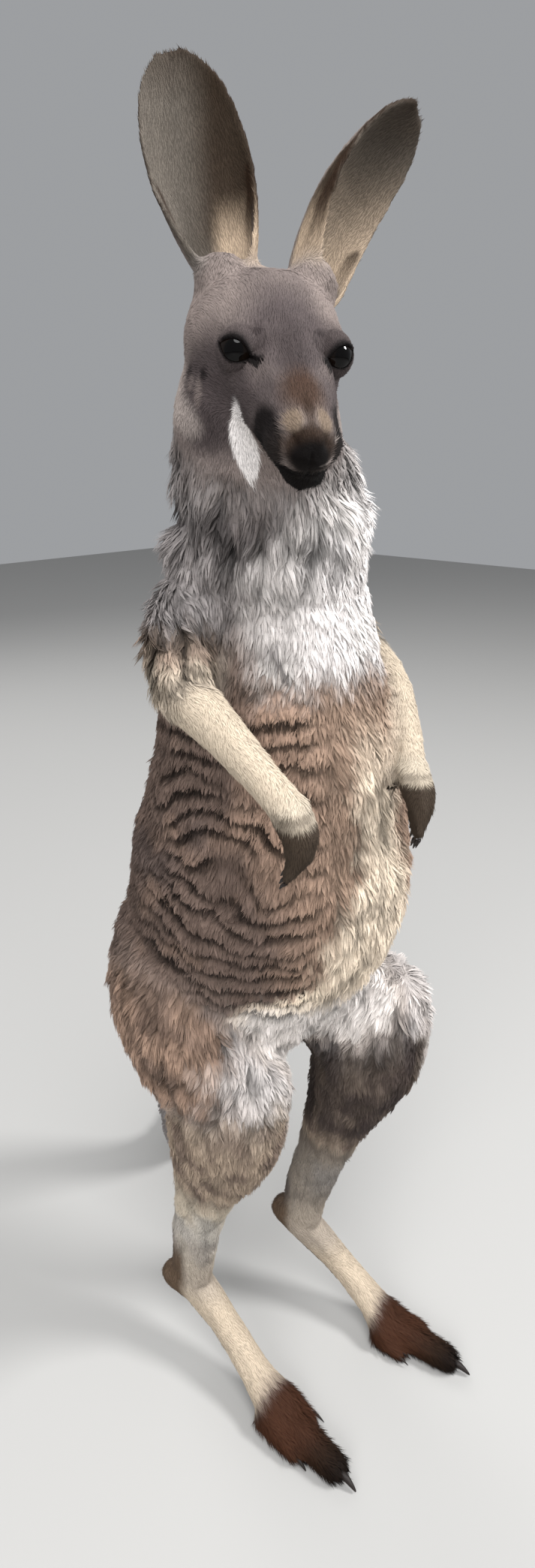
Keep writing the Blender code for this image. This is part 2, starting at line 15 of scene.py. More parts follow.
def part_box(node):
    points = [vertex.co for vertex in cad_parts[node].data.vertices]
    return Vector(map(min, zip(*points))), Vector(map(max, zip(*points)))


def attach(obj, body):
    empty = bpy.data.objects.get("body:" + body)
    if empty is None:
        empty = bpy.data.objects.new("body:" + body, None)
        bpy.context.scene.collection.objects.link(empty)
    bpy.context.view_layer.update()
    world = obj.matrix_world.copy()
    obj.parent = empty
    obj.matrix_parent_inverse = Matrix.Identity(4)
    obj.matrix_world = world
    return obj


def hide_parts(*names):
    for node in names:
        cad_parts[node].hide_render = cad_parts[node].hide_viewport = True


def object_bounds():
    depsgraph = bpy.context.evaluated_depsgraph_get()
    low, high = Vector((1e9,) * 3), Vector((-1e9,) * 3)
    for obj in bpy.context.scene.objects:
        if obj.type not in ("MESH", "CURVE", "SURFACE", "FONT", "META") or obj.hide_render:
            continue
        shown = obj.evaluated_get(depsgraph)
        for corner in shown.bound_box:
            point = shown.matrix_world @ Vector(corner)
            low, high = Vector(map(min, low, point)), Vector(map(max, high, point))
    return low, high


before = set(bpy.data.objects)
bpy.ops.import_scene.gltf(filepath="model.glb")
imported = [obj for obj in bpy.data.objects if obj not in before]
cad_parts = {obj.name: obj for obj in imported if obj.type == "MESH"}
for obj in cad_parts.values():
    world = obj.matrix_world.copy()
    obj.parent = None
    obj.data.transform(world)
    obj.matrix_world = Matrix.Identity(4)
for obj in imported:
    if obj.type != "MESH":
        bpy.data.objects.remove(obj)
solid_low, solid_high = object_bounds()

# ---- the skin
# One closed skin covers the animal from the nose to the tip of the tail. It is grown from the solids of
# flesh, whose thin cuts it heals, and it is kept fine where the face, ears, hands and feet need detail.
SIDES = ("right", "left")
TAIL = ("tail_base", "tail_middle", "tail_tip")
TRUNK_PARTS = ["head", "neck", "chest", "belly", "rump", *TAIL]
LIMB_PARTS = ["ear", "upper_arm", "forearm", "hand", "thigh", "shin", "foot", "toes"]
KINDS = TRUNK_PARTS + LIMB_PARTS
FLESH = TRUNK_PARTS + [part + "_" + side for part in LIMB_PARTS for side in SIDES]
FINE_PARTS = ("head", "ear", "hand", "toes")
CUT_HEALING = 0.00025      # how far each solid is grown so that its neighbours meet
GRID = 0.0022              # voxels of the grown skin
BODY_SHARE = 0.33          # share of the body's faces that is kept
EYE_PLUG = 0.0127          # ball that fills an eye's socket while the skin is grown
SAME_POINT = 5e-6          # corners closer than this are one


def middle_of(node):
    low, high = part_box(node)
    return (low + high) / 2


def solid_copy(name):
    """A node's closed mesh, its loose triangles merged, as a bmesh."""
    bm = bmesh.new()
    bm.from_mesh(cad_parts[name].data)
    bmesh.ops.remove_doubles(bm, verts=bm.verts, dist=SAME_POINT)
    bm.normal_update()
    return bm


def mesh_of(bm, name):
    mesh = bpy.data.meshes.new(name)
    bm.to_mesh(mesh)
    bm.free()
    return mesh


def new_object(name, mesh):
    made = bpy.data.objects.new(name, mesh)
    bpy.context.scene.collection.objects.link(made)
    return made


def apply_modifiers(obj):
    graph = bpy.context.evaluated_depsgraph_get()
    mesh = bpy.data.meshes.new_from_object(obj.evaluated_get(graph))
    obj.modifiers.clear()
    obj.data = mesh


eye_middle = {side: middle_of("eye_" + side) for side in SIDES}
grown = bmesh.new()
for part in FLESH:
    solid = solid_copy(part)
    for vert in solid.verts:
        vert.co += vert.normal * CUT_HEALING
    piece = mesh_of(solid, part)
    grown.from_mesh(piece)
    bpy.data.meshes.remove(piece)
for side in SIDES:
    plug = bmesh.ops.create_uvsphere(grown, u_segments=32, v_segments=20, radius=EYE_PLUG)["verts"]
    bmesh.ops.translate(grown, verts=plug, vec=eye_middle[side])
skin = new_object("skin", mesh_of(grown, "skin"))
grid = skin.modifiers.new("grow together", "REMESH")
grid.mode = "VOXEL"
grid.voxel_size = GRID
softened = skin.modifiers.new("soften", "SMOOTH")
softened.factor = 0.5
softened.iterations = 4
apply_modifiers(skin)


def read_all(items, name, width, kind=float):
    """One property of all the items, a row for each."""
    flat = np.empty(len(items) * width, dtype=kind)
    items.foreach_get(name, flat)
    return flat.reshape(-1, width)


def nearest_parts(points):
    """For each point, the index in FLESH of the solid that it lies nearest to."""
    corners = []
    faces = []
    owner = []
    for index, name in enumerate(FLESH):
        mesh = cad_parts[name].data
        start = len(corners)
        corners += [vert.co.copy() for vert in mesh.vertices]
        faces += [[start + v for v in face.vertices] for face in mesh.polygons]
        owner += [index] * len(mesh.polygons)
    tree = BVHTree.FromPolygons(corners, faces)
    return np.array([owner[tree.find_nearest(point)[2]] for point in points])


fine = np.array([name.startswith(FINE_PARTS) for name in FLESH])
thinned = skin.vertex_groups.new(name="thinned")
coarse = np.flatnonzero(~fine[nearest_parts(read_all(skin.data.vertices, "co", 3))])
thinned.add(coarse.tolist(), 1.0, "REPLACE")
fewer = skin.modifiers.new("fewer", "DECIMATE")
fewer.vertex_group = "thinned"
fewer.ratio = BODY_SHARE
skin.modifiers.new("triangles", "TRIANGULATE")
apply_modifiers(skin)
skin.vertex_groups.clear()

# the head's own frame: along the muzzle, up from it, and to the animal's left
HEAD_YAW, HEAD_DROP, HEAD_ROLL = (math.radians(angle) for angle in (37, 33, 1.5))
EYES_AHEAD = 0.006
EYES_UP = 0.0005
head_turn = (Matrix.Rotation(-HEAD_YAW, 3, "Z") @ Matrix.Rotation(HEAD_DROP, 3, "X")
             @ Matrix.Rotation(HEAD_ROLL, 3, "Y"))
between_eyes = (eye_middle["right"] + eye_middle["left"]) / 2
head_root = np.array(between_eyes - head_turn @ Vector((0, -EYES_AHEAD, EYES_UP)))
to_head = np.array(head_turn) * np.array([[1, -1, 1]])


def in_head(points):
    """Side (left is +), ahead and up of the eyes' middle, for points of the whole animal."""
    return (points - head_root) @ to_head


def out_of_head(side, ahead, up):
    return head_root + to_head @ np.array([side, ahead, up])


# the skin is finer still round the eyes and at the nose
FINEST = [(out_of_head(-0.028, 0.01, 0.002), 0.022), (out_of_head(0.028, 0.01, 0.002), 0.022),
          (out_of_head(0, 0.084, -0.008), 0.024)]


def in_detail(vert):
    return any(np.linalg.norm(np.array(vert.co) - spot) < reach for spot, reach in FINEST)


bm = bmesh.new()
bm.from_mesh(skin.data)
bmesh.ops.subdivide_edges(bm, edges=[edge for edge in bm.edges if in_detail(edge.verts[0])], cuts=2,
                          use_grid_fill=True)
bmesh.ops.triangulate(bm, faces=bm.faces)
bmesh.ops.smooth_vert(bm, verts=[vert for vert in bm.verts if in_detail(vert)],
                      factor=0.5, use_axis_x=True, use_axis_y=True, use_axis_z=True)
bm.to_mesh(skin.data)
bm.free()

skin_points = read_all(skin.data.vertices, "co", 3)
skin_faces = read_all(skin.data.polygons, "vertices", 3, np.int64)
edges = np.vstack((skin_faces[:, :2], skin_faces[:, 1:], skin_faces[:, ::2]))
edges = np.unique(np.sort(edges, axis=1), axis=0)
edge_ends = edges.T.ravel()
edge_others = edges[:, ::-1].T.ravel()
neighbours = np.bincount(edge_ends, minlength=len(skin_points))[:, None]


def spread(values, passes):
    """Values of the skin's points, evened out over their neighbours."""
    values = np.array(values, dtype=float).reshape(len(skin_points), -1)
    for _ in range(passes):
        summed = [np.bincount(edge_ends, column[edge_others], len(skin_points)) for column in values.T]
        values = 0.5 * values + 0.5 * np.stack(summed, axis=1) / neighbours
    return values


def unit(vectors):
    return vectors / np.maximum(np.linalg.norm(vectors, axis=-1, keepdims=True), 1e-12)


def normals_at(points):
    a, b, c = (points[skin_faces[:, k]] for k in range(3))
    facing = np.cross(b - a, c - a)
    return unit(np.stack([sum(np.bincount(skin_faces[:, k], facing[:, axis], len(points)) for k in range(3))
                          for axis in range(3)], axis=1))


def ramp(low, high, values):
    """0 below `low`, 1 above `high`, smooth between. With low above high it falls."""
    step = np.clip((values - low) / (high - low), 0, 1)
    return step * step * (3 - 2 * step)


def lattice(cells, seed):
    """A repeatable number from -1 to 1 for each whole-numbered cell."""
    mixed = (cells[..., 0] * 73856093 ^ cells[..., 1] * 19349663 ^ cells[..., 2] * 83492791 ^ seed * 15731)
    mixed = (mixed ^ (mixed >> 13)) * 1274126177 & 0x7FFFFFFF
    mixed = (mixed ^ (mixed >> 15)) * 374761393 & 0x7FFFFFFF
    return mixed / 0x3FFFFFFF - 1


def noise(points, size, seed):
    """Smooth noise from -1 to 1, its lumps `size` across (a number, or one for each axis)."""
    scaled = points / np.array(size)
    base = np.floor(scaled).astype(np.int64)
    part = scaled - base
    part = part * part * (3 - 2 * part)
    total = 0
    for corner in np.ndindex(2, 2, 2):
        weight = np.prod(np.where(corner, part, 1 - part), axis=-1)
        total = total + weight * lattice(base + np.array(corner), seed)
    return total


# the solid that each point belongs to, its share of each kind of part, and the depth of coat over it
part_of = nearest_parts(skin_points)
kind = np.array([KINDS.index(name.rsplit("_", 1)[0] if name.endswith(SIDES) else name)
                 for name in FLESH])[part_of]
share = {name: spread(kind == index, 14)[:, 0] for index, name in enumerate(KINDS)}
COAT = {  # depth of the coat, length and width of a tuft, its lift in degrees, spacing, light of its root (painted shade under the coat, with the darker underfur)
    "head": (0.0018, 0.004, 0.0007, 8, 0.0012, 0.92), "ear": (0.0006, 0.003, 0.0007, 7, 0.0015, 0.94),
    "neck": (0.007, 0.015, 0.0011, 19, 0.0015, 0.66), "chest": (0.007, 0.01, 0.0011, 14, 0.0015, 0.86),
    "belly": (0.008, 0.0115, 0.0011, 17, 0.0015, 0.66), "rump": (0.0075, 0.012, 0.0012, 16, 0.0017, 0.66),
    "tail_base": (0.006, 0.011, 0.0013, 14, 0.002, 0.65),
    "tail_middle": (0.004, 0.009, 0.0013, 13, 0.0021, 0.68),
    "tail_tip": (0.0026, 0.008, 0.0012, 12, 0.0021, 0.68),
    "upper_arm": (0.0055, 0.0125, 0.0011, 17, 0.0015, 0.66),
    "forearm": (0.0019, 0.0056, 0.0009, 8, 0.0014, 0.88), "hand": (0.0011, 0.0038, 0.0009, 10, 0.0013, 0.74),
    "thigh": (0.0068, 0.012, 0.0012, 16, 0.0015, 0.66), "shin": (0.0045, 0.01, 0.0012, 14, 0.0016, 0.72),
    "foot": (0.0013, 0.0046, 0.0009, 8, 0.0015, 0.88), "toes": (0.0011, 0.0078, 0.001, 24, 0.0014, 0.66),
}


def from_coat(column):
    """A column of the table for each point of the skin, blended where parts meet."""
    return sum(share[name] * COAT[name][column] for name in KINDS)


SLEEK_SHIN = 0.0028        # how much thinner the coat is low on the shins
low_on_shin = share["shin"] * ramp(0.3, 0.18, skin_points[:, 2])
depth = from_coat(0) - low_on_shin * SLEEK_SHIN
skin_points = skin_points - normals_at(skin_points) * depth[:, None]

# The pelt has a relief of its own: rows of waves cross the flanks, and soft clumps lie over the rest,
# each a rise of the skin that the hair follows, with a groove beside it. Their light and shade are painted
# into the colour: painted light on the crests, painted shade in the grooves.
SPINE = np.array(middle_of("chest"))
RIDGE_STEP = 0.0175        # from one wave of the flank to the next
RIDGE_RISE = 0.0082
CLUMP_SIZE = (0.015, 0.015, 0.026)
CLUMP_RISE = 0.0036
LONG_COAT_SINK = 0.0016    # keeps the crests of long hair near the solids
DARKEST = 0.08             # least painted light in a groove
LIGHT = {"row": (1.32, 0.08), "tip": (1.46, 0.12), "clump": (1.14, 0.34)}  # painted light on a crest, painted shade in its groove
CLUMPED = {  # how strongly each kind of part is clumped
    "neck": 1.32, "chest": 0.4, "belly": 0.72, "rump": 0.8, "upper_arm": 1.3, "thigh": 0.95,
    "shin": 0.45, "tail_base": 0.45, "tail_middle": 0.3, "tail_tip": 0.2,
}


def clump_at(points):
    """Distance from each point to the middle of its clump (about 0 to 1), a number for the clump, and the
    way to that middle. The clumps' grid is bent, so that no row shows."""
    bent = points + 0.005 * np.stack([noise(points, 0.018, seed) for seed in (44, 45, 46)], axis=1)
    scaled = bent / np.array(CLUMP_SIZE)
    base = np.floor(scaled).astype(np.int64)
    best = np.full(len(points), 9.0)
    chance = np.zeros(len(points))
    way = np.zeros((len(points), 3))
    for step in np.ndindex(3, 3, 3):
        cell = base + np.array(step) - 1
        place = cell + 0.5 + 0.42 * np.stack([lattice(cell, seed) for seed in (50, 51, 52)], axis=1)
        away = np.linalg.norm(place - scaled, axis=1)
        chance = np.where(away < best, lattice(cell, 53), chance)
        way = np.where((away < best)[:, None], (place - scaled) * np.array(CLUMP_SIZE), way)
        best = np.minimum(best, away)
    return best, chance, way


def round_trunk(points):
    """Degrees round the trunk from its front; the animal's left is +."""
    return np.degrees(np.arctan2(points[:, 0] - SPINE[0], -(points[:, 1] - SPINE[1])))


def light_at(name, groove):
    crest, deep = LIGHT[name]
    return crest - (crest - deep) * groove


def clumped_at(shares):
    return sum(shares[name] * amount for name, amount in CLUMPED.items())


def relief(points, shares):
    """The pelt's rise, its painted light and shade (1 is even), how waved it is, and where in its row each
    point is (0 at the lower edge)."""
    z = points[:, 2]
    wave = z / RIDGE_STEP + 1.15 * noise(points, 0.065, 41) + 0.48 * noise(points, 0.022, 42)
    phase = wave - np.floor(wave)  # 0 at a row's lower edge, 1 under the edge above
    waved = shares["belly"] + shares["rump"] * ramp(0.43, 0.5, z) + shares["chest"] * ramp(0.77, 0.73, z)
    broken = np.maximum(ramp(-0.65, 0.1, noise(points, 0.036, 43)), 0.9 * ramp(0.63, 0.58, z))
    turned = np.abs(round_trunk(points))
    waved = np.clip(waved * ramp(16, 36, turned) * broken * (1 - 0.6 * ramp(105, 140, turned)), 0, 1)
    away, chance, _ = clump_at(points)
    clumped = clumped_at(shares) * (1 - waved)
    row = ramp(0.0, 0.08, phase) * (1 - phase) ** 0.7
    rise = waved * row * RIDGE_RISE + clumped * ramp(0.85, 0.15, away) * CLUMP_RISE
    row_shade = light_at("row", np.clip(ramp(0.42, 0.76, phase) + ramp(0.05, 0.0, phase), 0, 1))
    clump_shade = light_at("clump", ramp(0.4, 0.82, away)) + 0.17 * chance
    shade = 1 + waved * (row_shade - 1) + clumped * (clump_shade - 1)
    return rise, np.maximum(shade, DARKEST), waved, phase


rise = relief(skin_points, share)[0] - LONG_COAT_SINK * ramp(0.002, 0.006, depth)
skin_points = skin_points + normals_at(skin_points) * rise[:, None]

# the soles stay flat on the floor
FLOOR_LEVEL = 0.0004
skin_points[:, 2] = np.maximum(skin_points[:, 2], FLOOR_LEVEL)

# ---- lids, nostrils and mouth
# The lids are rolled skin that hugs each eyeball round an almond opening, under a slight brow; the nostrils
# are commas pressed into the end of the muzzle, and the mouth is a thin fold under the lip.
EYE_RADIUS = 0.012
LID_THICK = 0.0007
LID_LEAST = 0.0006         # the lids never come nearer than this to the eyeball
LID_FOLD = 0.0009          # depth of the crease over the lid
OPENING_SINK = 0.003       # how far the skin in the opening lies under the eyeball's surface
SOCKET = 0.023             # skin this near to an eye's middle is shaped as lids
OPEN_WIDE = 0.8            # half the opening's width, and its rise and fall, in radii of the eyeball
OPEN_UP = 0.46
OPEN_DOWN = 0.47
GAZE = {"right": (-0.36, 0.8, 0.48), "left": (0.32, 0.82, 0.4)}
CANTHUS_TILT = 0.25        # the inner corner of the eye lies lower than the outer one


def round_eye(points, side):
    """Where points lie round an eye: their way and distance from its middle, how far out of the opening
    they are (1 at the edge of the lids), how high, how far outward, how much they face ahead, and the
    eye's axes."""
    sign = -1 if side == "right" else 1
    gaze = unit(to_head @ np.array(GAZE[side]))
    outer = to_head @ np.array([sign, -0.35, CANTHUS_TILT])
    outer = unit(outer - gaze * outer.dot(gaze))
    above = np.cross(gaze, outer)
    above = above if above[2] > 0 else -above
    axes = np.stack([outer, above, gaze])
    offset = points - np.array(eye_middle[side])
    reach = np.linalg.norm(offset, axis=1)
    way = offset / reach[:, None]
    wide, high, front = axes @ way.T
    lens = np.sqrt((wide / OPEN_WIDE) ** 2 + np.abs(high) / np.where(high > 0, OPEN_UP, OPEN_DOWN))
    lens = lens + np.where(front < 0.1, 9, 0)
    return way, reach, lens, high, wide, front, axes


for side in SIDES:
    way, reach, lens, high, wide, front, axes = round_eye(skin_points, side)
    close = (reach < SOCKET) & (part_of == FLESH.index("head"))
    # the points nearest the opening's edge are slid onto it, so the lids end in a clean line
    edge = close & (np.abs(lens - 1) < 0.065)
    slid = np.column_stack((wide / lens, high / lens ** 2, np.zeros(len(wide))))
    slid[:, 2] = np.sqrt(np.clip(1 - (slid ** 2).sum(axis=1), 0.05, 1))
    way = np.where(edge[:, None], slid @ axes, way)
    lens = np.where(edge, 1.0, lens)
    lid = EYE_RADIUS + LID_THICK * (1 + 0.9 * np.exp(-((lens - 1.06) / 0.06) ** 2) * (high > 0))
    lid = lid - LID_FOLD * np.exp(-((lens - 1.24) / 0.06) ** 2) * (high > -0.1)
    held = ramp(1.5, 0.85, np.arccos(np.clip(front, -1, 1))) * close
    target = np.where(lens < 1.0, EYE_RADIUS - OPENING_SINK, lid)
    moved = reach + (target - reach) * np.where(lens < 1.0, close, held)
    over_ball = close & (lens >= 1.0) & (front > 0)
    moved = np.where(over_ball, np.maximum(moved, EYE_RADIUS + LID_LEAST), moved)
    skin_points = np.array(eye_middle[side]) + way * moved[:, None]

# (to the side, ahead and up of the eyes' middle), width, depth
NOSTRILS = [((0.0085, 0.087, -0.0035), 0.003, 0.0022), ((0.0105, 0.0835, -0.0015), 0.0022, 0.0014)]
MOUTH_UP = -0.0215
BROW_RISE = 0.0016
MOUTH_DEEP = 0.0014
CLEFT_DEEP = 0.0008        # the cleft between nose and lip
side, ahead, up = in_head(skin_points).T
aside = np.abs(side)
inward = -normals_at(skin_points)
brow = ((aside - 0.029) / 0.01) ** 2 + ((ahead - 0.003) / 0.012) ** 2 + ((up - 0.0155) / 0.005) ** 2
skin_points = skin_points - inward * (BROW_RISE * np.exp(-brow))[:, None]
for (x, y, z), size, deep in NOSTRILS:
    away = np.sqrt((aside - x) ** 2 + (ahead - y) ** 2 + (up - z) ** 2)
    skin_points = skin_points + inward * (deep * np.exp(-(away / size) ** 2))[:, None]
mouth_line = MOUTH_UP - 0.1 * np.clip(0.078 - ahead, 0, 0.04)
lips = np.exp(-((up - mouth_line) / 0.0011) ** 2) * ramp(0.042, 0.052, ahead)
skin_points = skin_points + inward * (MOUTH_DEEP * lips)[:, None]
cleft = np.exp(-(aside / 0.0009) ** 2) * ramp(0.08, 0.084, ahead)
cleft = cleft * ramp(-0.022, -0.019, up) * ramp(-0.005, -0.008, up)
skin_points = skin_points + inward * (CLEFT_DEEP * cleft)[:, None]

# ---- markings
# The grey coat shades from dark neck clumps to a pale chest and cream belly; the face has a black
# whisker patch beside a broad white cheek stripe; limbs are cream, hands and toes nearly black. Over them
# lie the pelt's painted shade in the grooves of its clumps and waves and painted light on their crests.
TONES = {  # linear colours of the hair
    "grey": (0.255, 0.232, 0.226), "dark_grey": (0.07, 0.06, 0.061), "pale_grey": (0.6, 0.56, 0.54),
    "white": (0.83, 0.785, 0.765), "belly_cream": (0.95, 0.8, 0.63), "flank": (0.135, 0.096, 0.079),
    "rusty": (0.34, 0.23, 0.17), "tan": (0.31, 0.222, 0.162), "cream": (0.58, 0.5, 0.395),
    "warm_cream": (0.6, 0.46, 0.33), "mauve": (0.069, 0.055, 0.055), "brow": (0.225, 0.184, 0.168),
    "rust_nose": (0.048, 0.026, 0.017), "nose_sheen": (0.19, 0.142, 0.104), "black": (0.004, 0.003, 0.003),
    "black_brown": (0.026, 0.014, 0.008), "toe_red": (0.068, 0.028, 0.015),
    "ear_brown": (0.03, 0.018, 0.01), "ear_grey": (0.135, 0.116, 0.097), "heel": (0.085, 0.05, 0.028),
    "shin_grey": (0.48, 0.455, 0.42), "dark_face": (0.04, 0.031, 0.031), "pale_face": (0.47, 0.405, 0.37),
}
TONES = {name: np.array(tone) for name, tone in TONES.items()}


class Paint:
    """Colours of the coat at many points, laid on coat after coat."""

    def __init__(self, points, tone):
        self.colour = np.tile(TONES[tone], (len(points), 1))

    def lay(self, tone, amount):
        amount = np.clip(amount, 0, 1)[:, None]
        self.colour = self.colour * (1 - amount) + TONES[tone] * amount


def distance_to_path(at, path):
    """Distance from each point to a bent line, and how far along it (0 to 1) the nearest place is."""
    best = np.full(len(at), 9.0)
    along = np.zeros(len(at))
    for index, (start, end) in enumerate(zip(path, path[1:])):
        step = np.clip((at - start) @ (end - start) / ((end - start) @ (end - start)), 0, 1)
        away = np.linalg.norm(at - start - step[:, None] * (end - start), axis=1)
        along = np.where(away < best, (index + step) / (len(path) - 1), along)
        best = np.minimum(best, away)
    return best, along


def coat_colour(points, normals, shares):
    """The markings, with the pelt's painted light and shade: linear colours of skin and coat at these
    points, all by places on the animal.
    A limb's places count from the middle of its solid, inner towards the other leg."""
    ragged = noise(points, 0.012, 3) * 0.5 + noise(points, 0.005, 4) * 0.5
    x, y, z = points.T
    front = np.abs(round_trunk(points)) + ragged * 7
    rough_z = z + ragged * 0.01
    right = x < SPINE[0]
    left = ~right
    neck, chest_skin, thigh, shin, foot, toes, upper, forearm, hand = (shares[name] for name in (
        "neck", "chest", "thigh", "shin", "foot", "toes", "upper_arm", "forearm", "hand"))
    paint = Paint(points, "grey")
    lay = paint.lay

    def blotch(low, high, size, seed):
        return ramp(low, high, noise(points, size, seed))

    def own_side(part):
        """The middle of the limb's solid on each point's own side of the animal."""
        return np.where(right[:, None], middle_of(part + "_right"), middle_of(part + "_left"))

    # neck and chest
    lay("dark_grey", 0.75 * neck * blotch(-0.3, 0.8, (0.03, 0.03, 0.018), 9))
    chest_edge = 60 - 24 * ramp(0.83, 0.875, z)
    chest = ramp(chest_edge + 9, chest_edge - 9, front) * ramp(0.728, 0.768, z + ragged * 0.016)
    throat = chest * (neck + chest_skin)
    lay("pale_grey", 0.45 * neck * ramp(75, 45, front) * ramp(0.86, 0.885, z))
    lay("pale_grey", throat * ramp(0.915, 0.885, z))
    # painted light over the real pale chest: its lit left side is laid whiter
    lay("white", 0.95 * throat * ramp(-48, -14, round_trunk(points)) * ramp(0.895, 0.865, z))
    lay("shin_grey", 0.35 * throat * blotch(0.1, 0.7, 0.028, 16))
    # painted shade in the creases of the chest's fur
    crease_shade = ramp(0.075, 0.015, np.abs(noise(points, 0.03, 23))) * blotch(-0.1, 0.35, 0.045, 24)
    lay("dark_grey", 0.7 * chest * chest_skin * crease_shade * ramp(0.86, 0.84, z))

    # flanks, belly and back
    flank = (chest_skin + shares["belly"] + shares["rump"]) * ramp(0.8, 0.765, z + ragged * 0.012)
    lower = flank * (1 - chest)
    lay("flank", lower)
    lay("dark_grey", 0.35 * lower * blotch(0.0, 0.7, 0.04, 17))
    belly_edge = 58 - 20 * ramp(0.64, 0.56, z)
    lay("rusty", 0.85 * lower * ramp(belly_edge + 16, belly_edge - 14, front))
    lay("tan", 0.5 * lower * ramp(44, 14, front))
    lay("rusty", 0.3 * lower * blotch(0.15, 0.8, 0.022, 18))
    strip = 9 + 14 * ramp(0.62, 0.54, z) + 46 * ramp(0.52, 0.47, z)
    lay("belly_cream", 0.95 * flank * ramp(strip + 9, strip - 5, front) * ramp(0.74, 0.66, z))
    lay("white", 0.85 * flank * ramp(strip + 7, strip - 7, front) * ramp(0.5, 0.47, z))

    # thighs and shins
    leg = own_side("thigh")
    inner = np.where(right, x - leg[:, 0], leg[:, 0] - x)
    ahead = y - leg[:, 1]
    lay("rusty", thigh)
    lay("flank", 0.6 * thigh * blotch(-0.3, 0.5, 0.024, 22))
    knee_front = ramp(-0.03, -0.058, ahead + ragged * 0.01)
    near_white = knee_front * ramp(-0.03, -0.006, inner + ragged * 0.006)
    lay("pale_grey", thigh * near_white)
    lay("white", 0.5 * thigh * near_white * ramp(0.4, 0.46, z) * right)
    lay("pale_grey", 0.85 * right * (thigh + shin) * ramp(0.34, 0.365, rough_z)
        * ramp(0.44, 0.41, z) * ramp(-0.05, -0.024, inner + ragged * 0.01) * ramp(0.0, -0.02, ahead))
    calf = shin * ramp(0.215, 0.262, z + ragged * 0.012)
    lay("cream", shin)
    lay("tan", 0.75 * calf)
    lay("flank", 0.75 * calf * blotch(-0.3, 0.5, 0.014, 15))
    lay("rusty", 0.35 * thigh * (1 - near_white) * ramp(0.42, 0.36, z))
    lay("pale_grey", 0.85 * (calf + thigh * ramp(0.4, 0.36, z)) * ramp(0.01, 0.03, inner) * right)
    # painted shade on the inner side of the far (left) leg, between the legs and under the belly
    dark_edge = inner + ragged * 0.004 + 0.016 * ramp(0.42, 0.395, z)
    far_inner_shade = ramp(-0.014, 0.006, dark_edge) * ramp(0.23, 0.28, z) * ramp(0.47, 0.44, z + ragged * 0.012)
    lay("pale_grey", 0.6 * thigh * left * ramp(0.395, 0.425, rough_z)
        * ramp(0.004, -0.018, inner + ragged * 0.005) * ramp(0.0, -0.03, ahead))
    lay("pale_grey", 0.8 * (thigh + calf) * left * ramp(-0.01, -0.035, inner)
        * ramp(0.0, -0.03, ahead + ragged * 0.008))
    lay("dark_face", 0.92 * (thigh + calf) * left * far_inner_shade
        * (0.8 + 0.2 * blotch(-0.5, 0.3, (0.01, 0.01, 0.05), 12)))
    # the lower shins are greyer: partly grey fur, partly painted shade at the ankles
    lay("shin_grey", 0.75 * shin * ramp(0.24, 0.2, z) * blotch(-0.1, 0.5, 0.03, 14))
    lay("grey", 0.6 * shin * ramp(0.2, 0.15, z) * blotch(-0.5, 0.4, 0.02, 19))
    # painted shade low on the inner side of the far shin
    lay("dark_grey", 0.65 * shin * left * ramp(0.255, 0.235, z) * ramp(-0.012, 0.004, inner))

    # feet and toes
    lay("cream", foot)
    lay("warm_cream", 0.35 * foot)
    lay("grey", 0.45 * foot * ramp(0.07, 0.1, z))
    behind_shin = y - (own_side("shin")[:, 1] + np.where(right, 0.03, 0.035))
    lay("heel", 0.9 * (foot + shin) * ramp(0.006, 0.02, behind_shin) * ramp(0.16, 0.12, z))
    lay("black_brown", 0.95 * foot * ramp(-0.3, -0.62, normals[:, 2]))
    lay("toe_red", toes)
    tip_y = np.where(right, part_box("toes_right")[0][1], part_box("toes_left")[0][1])
    lay("black_brown", toes * ramp(0.062, 0.018, y - tip_y + ragged * 0.006))
    lay("black", 0.7 * toes * ramp(0.028, 0.004, y - tip_y))
    lay("black", 0.8 * toes * ramp(0.008, 0.003, z))

    # arms and hands
    lay("grey", upper)
    lay("tan", 0.8 * upper * ramp(0.8, 0.778, rough_z))
    lay("cream", 0.7 * upper * ramp(0.782, 0.758, rough_z))
    lay("cream", forearm + hand)
    lay("warm_cream", 0.25 * forearm)
    for arm_side in SIDES:
        wrist = np.array(middle_of("hand_" + arm_side))
        below = wrist[2] + 0.01 - z
        bars = 0.5 + 0.5 * np.sin(below / 0.0016 + noise(points, 0.01, 21) * 2)
        dusk = ramp(-0.018, 0.01, below) * (np.sign(x - SPINE[0]) == (-1 if arm_side == "right" else 1))
        lay("black_brown", 0.94 * (forearm + hand) * ramp(0.12, 0.8, dusk + 0.32 * (bars - 0.5)))

    # tail
    tail = sum(shares[name] for name in TAIL)
    lay("flank", 0.7 * shares["tail_base"])
    lay("grey", shares["tail_middle"] + shares["tail_tip"])
    lay("pale_grey", 0.5 * tail * ramp(-0.1, -0.6, normals[:, 2]) * ramp(0.35, 0.2, z))
    lay("dark_grey", 0.7 * shares["tail_tip"])

    paint_head(paint, points, shares, ragged)
    paint_ears(paint, points, normals, shares)
    # painted light and shade of the pelt's relief: crests lighter, grooves darker
    shade = relief(points, shares)[1]
    return paint.colour * ((1 + 0.1 * ragged) * shade)[:, None]


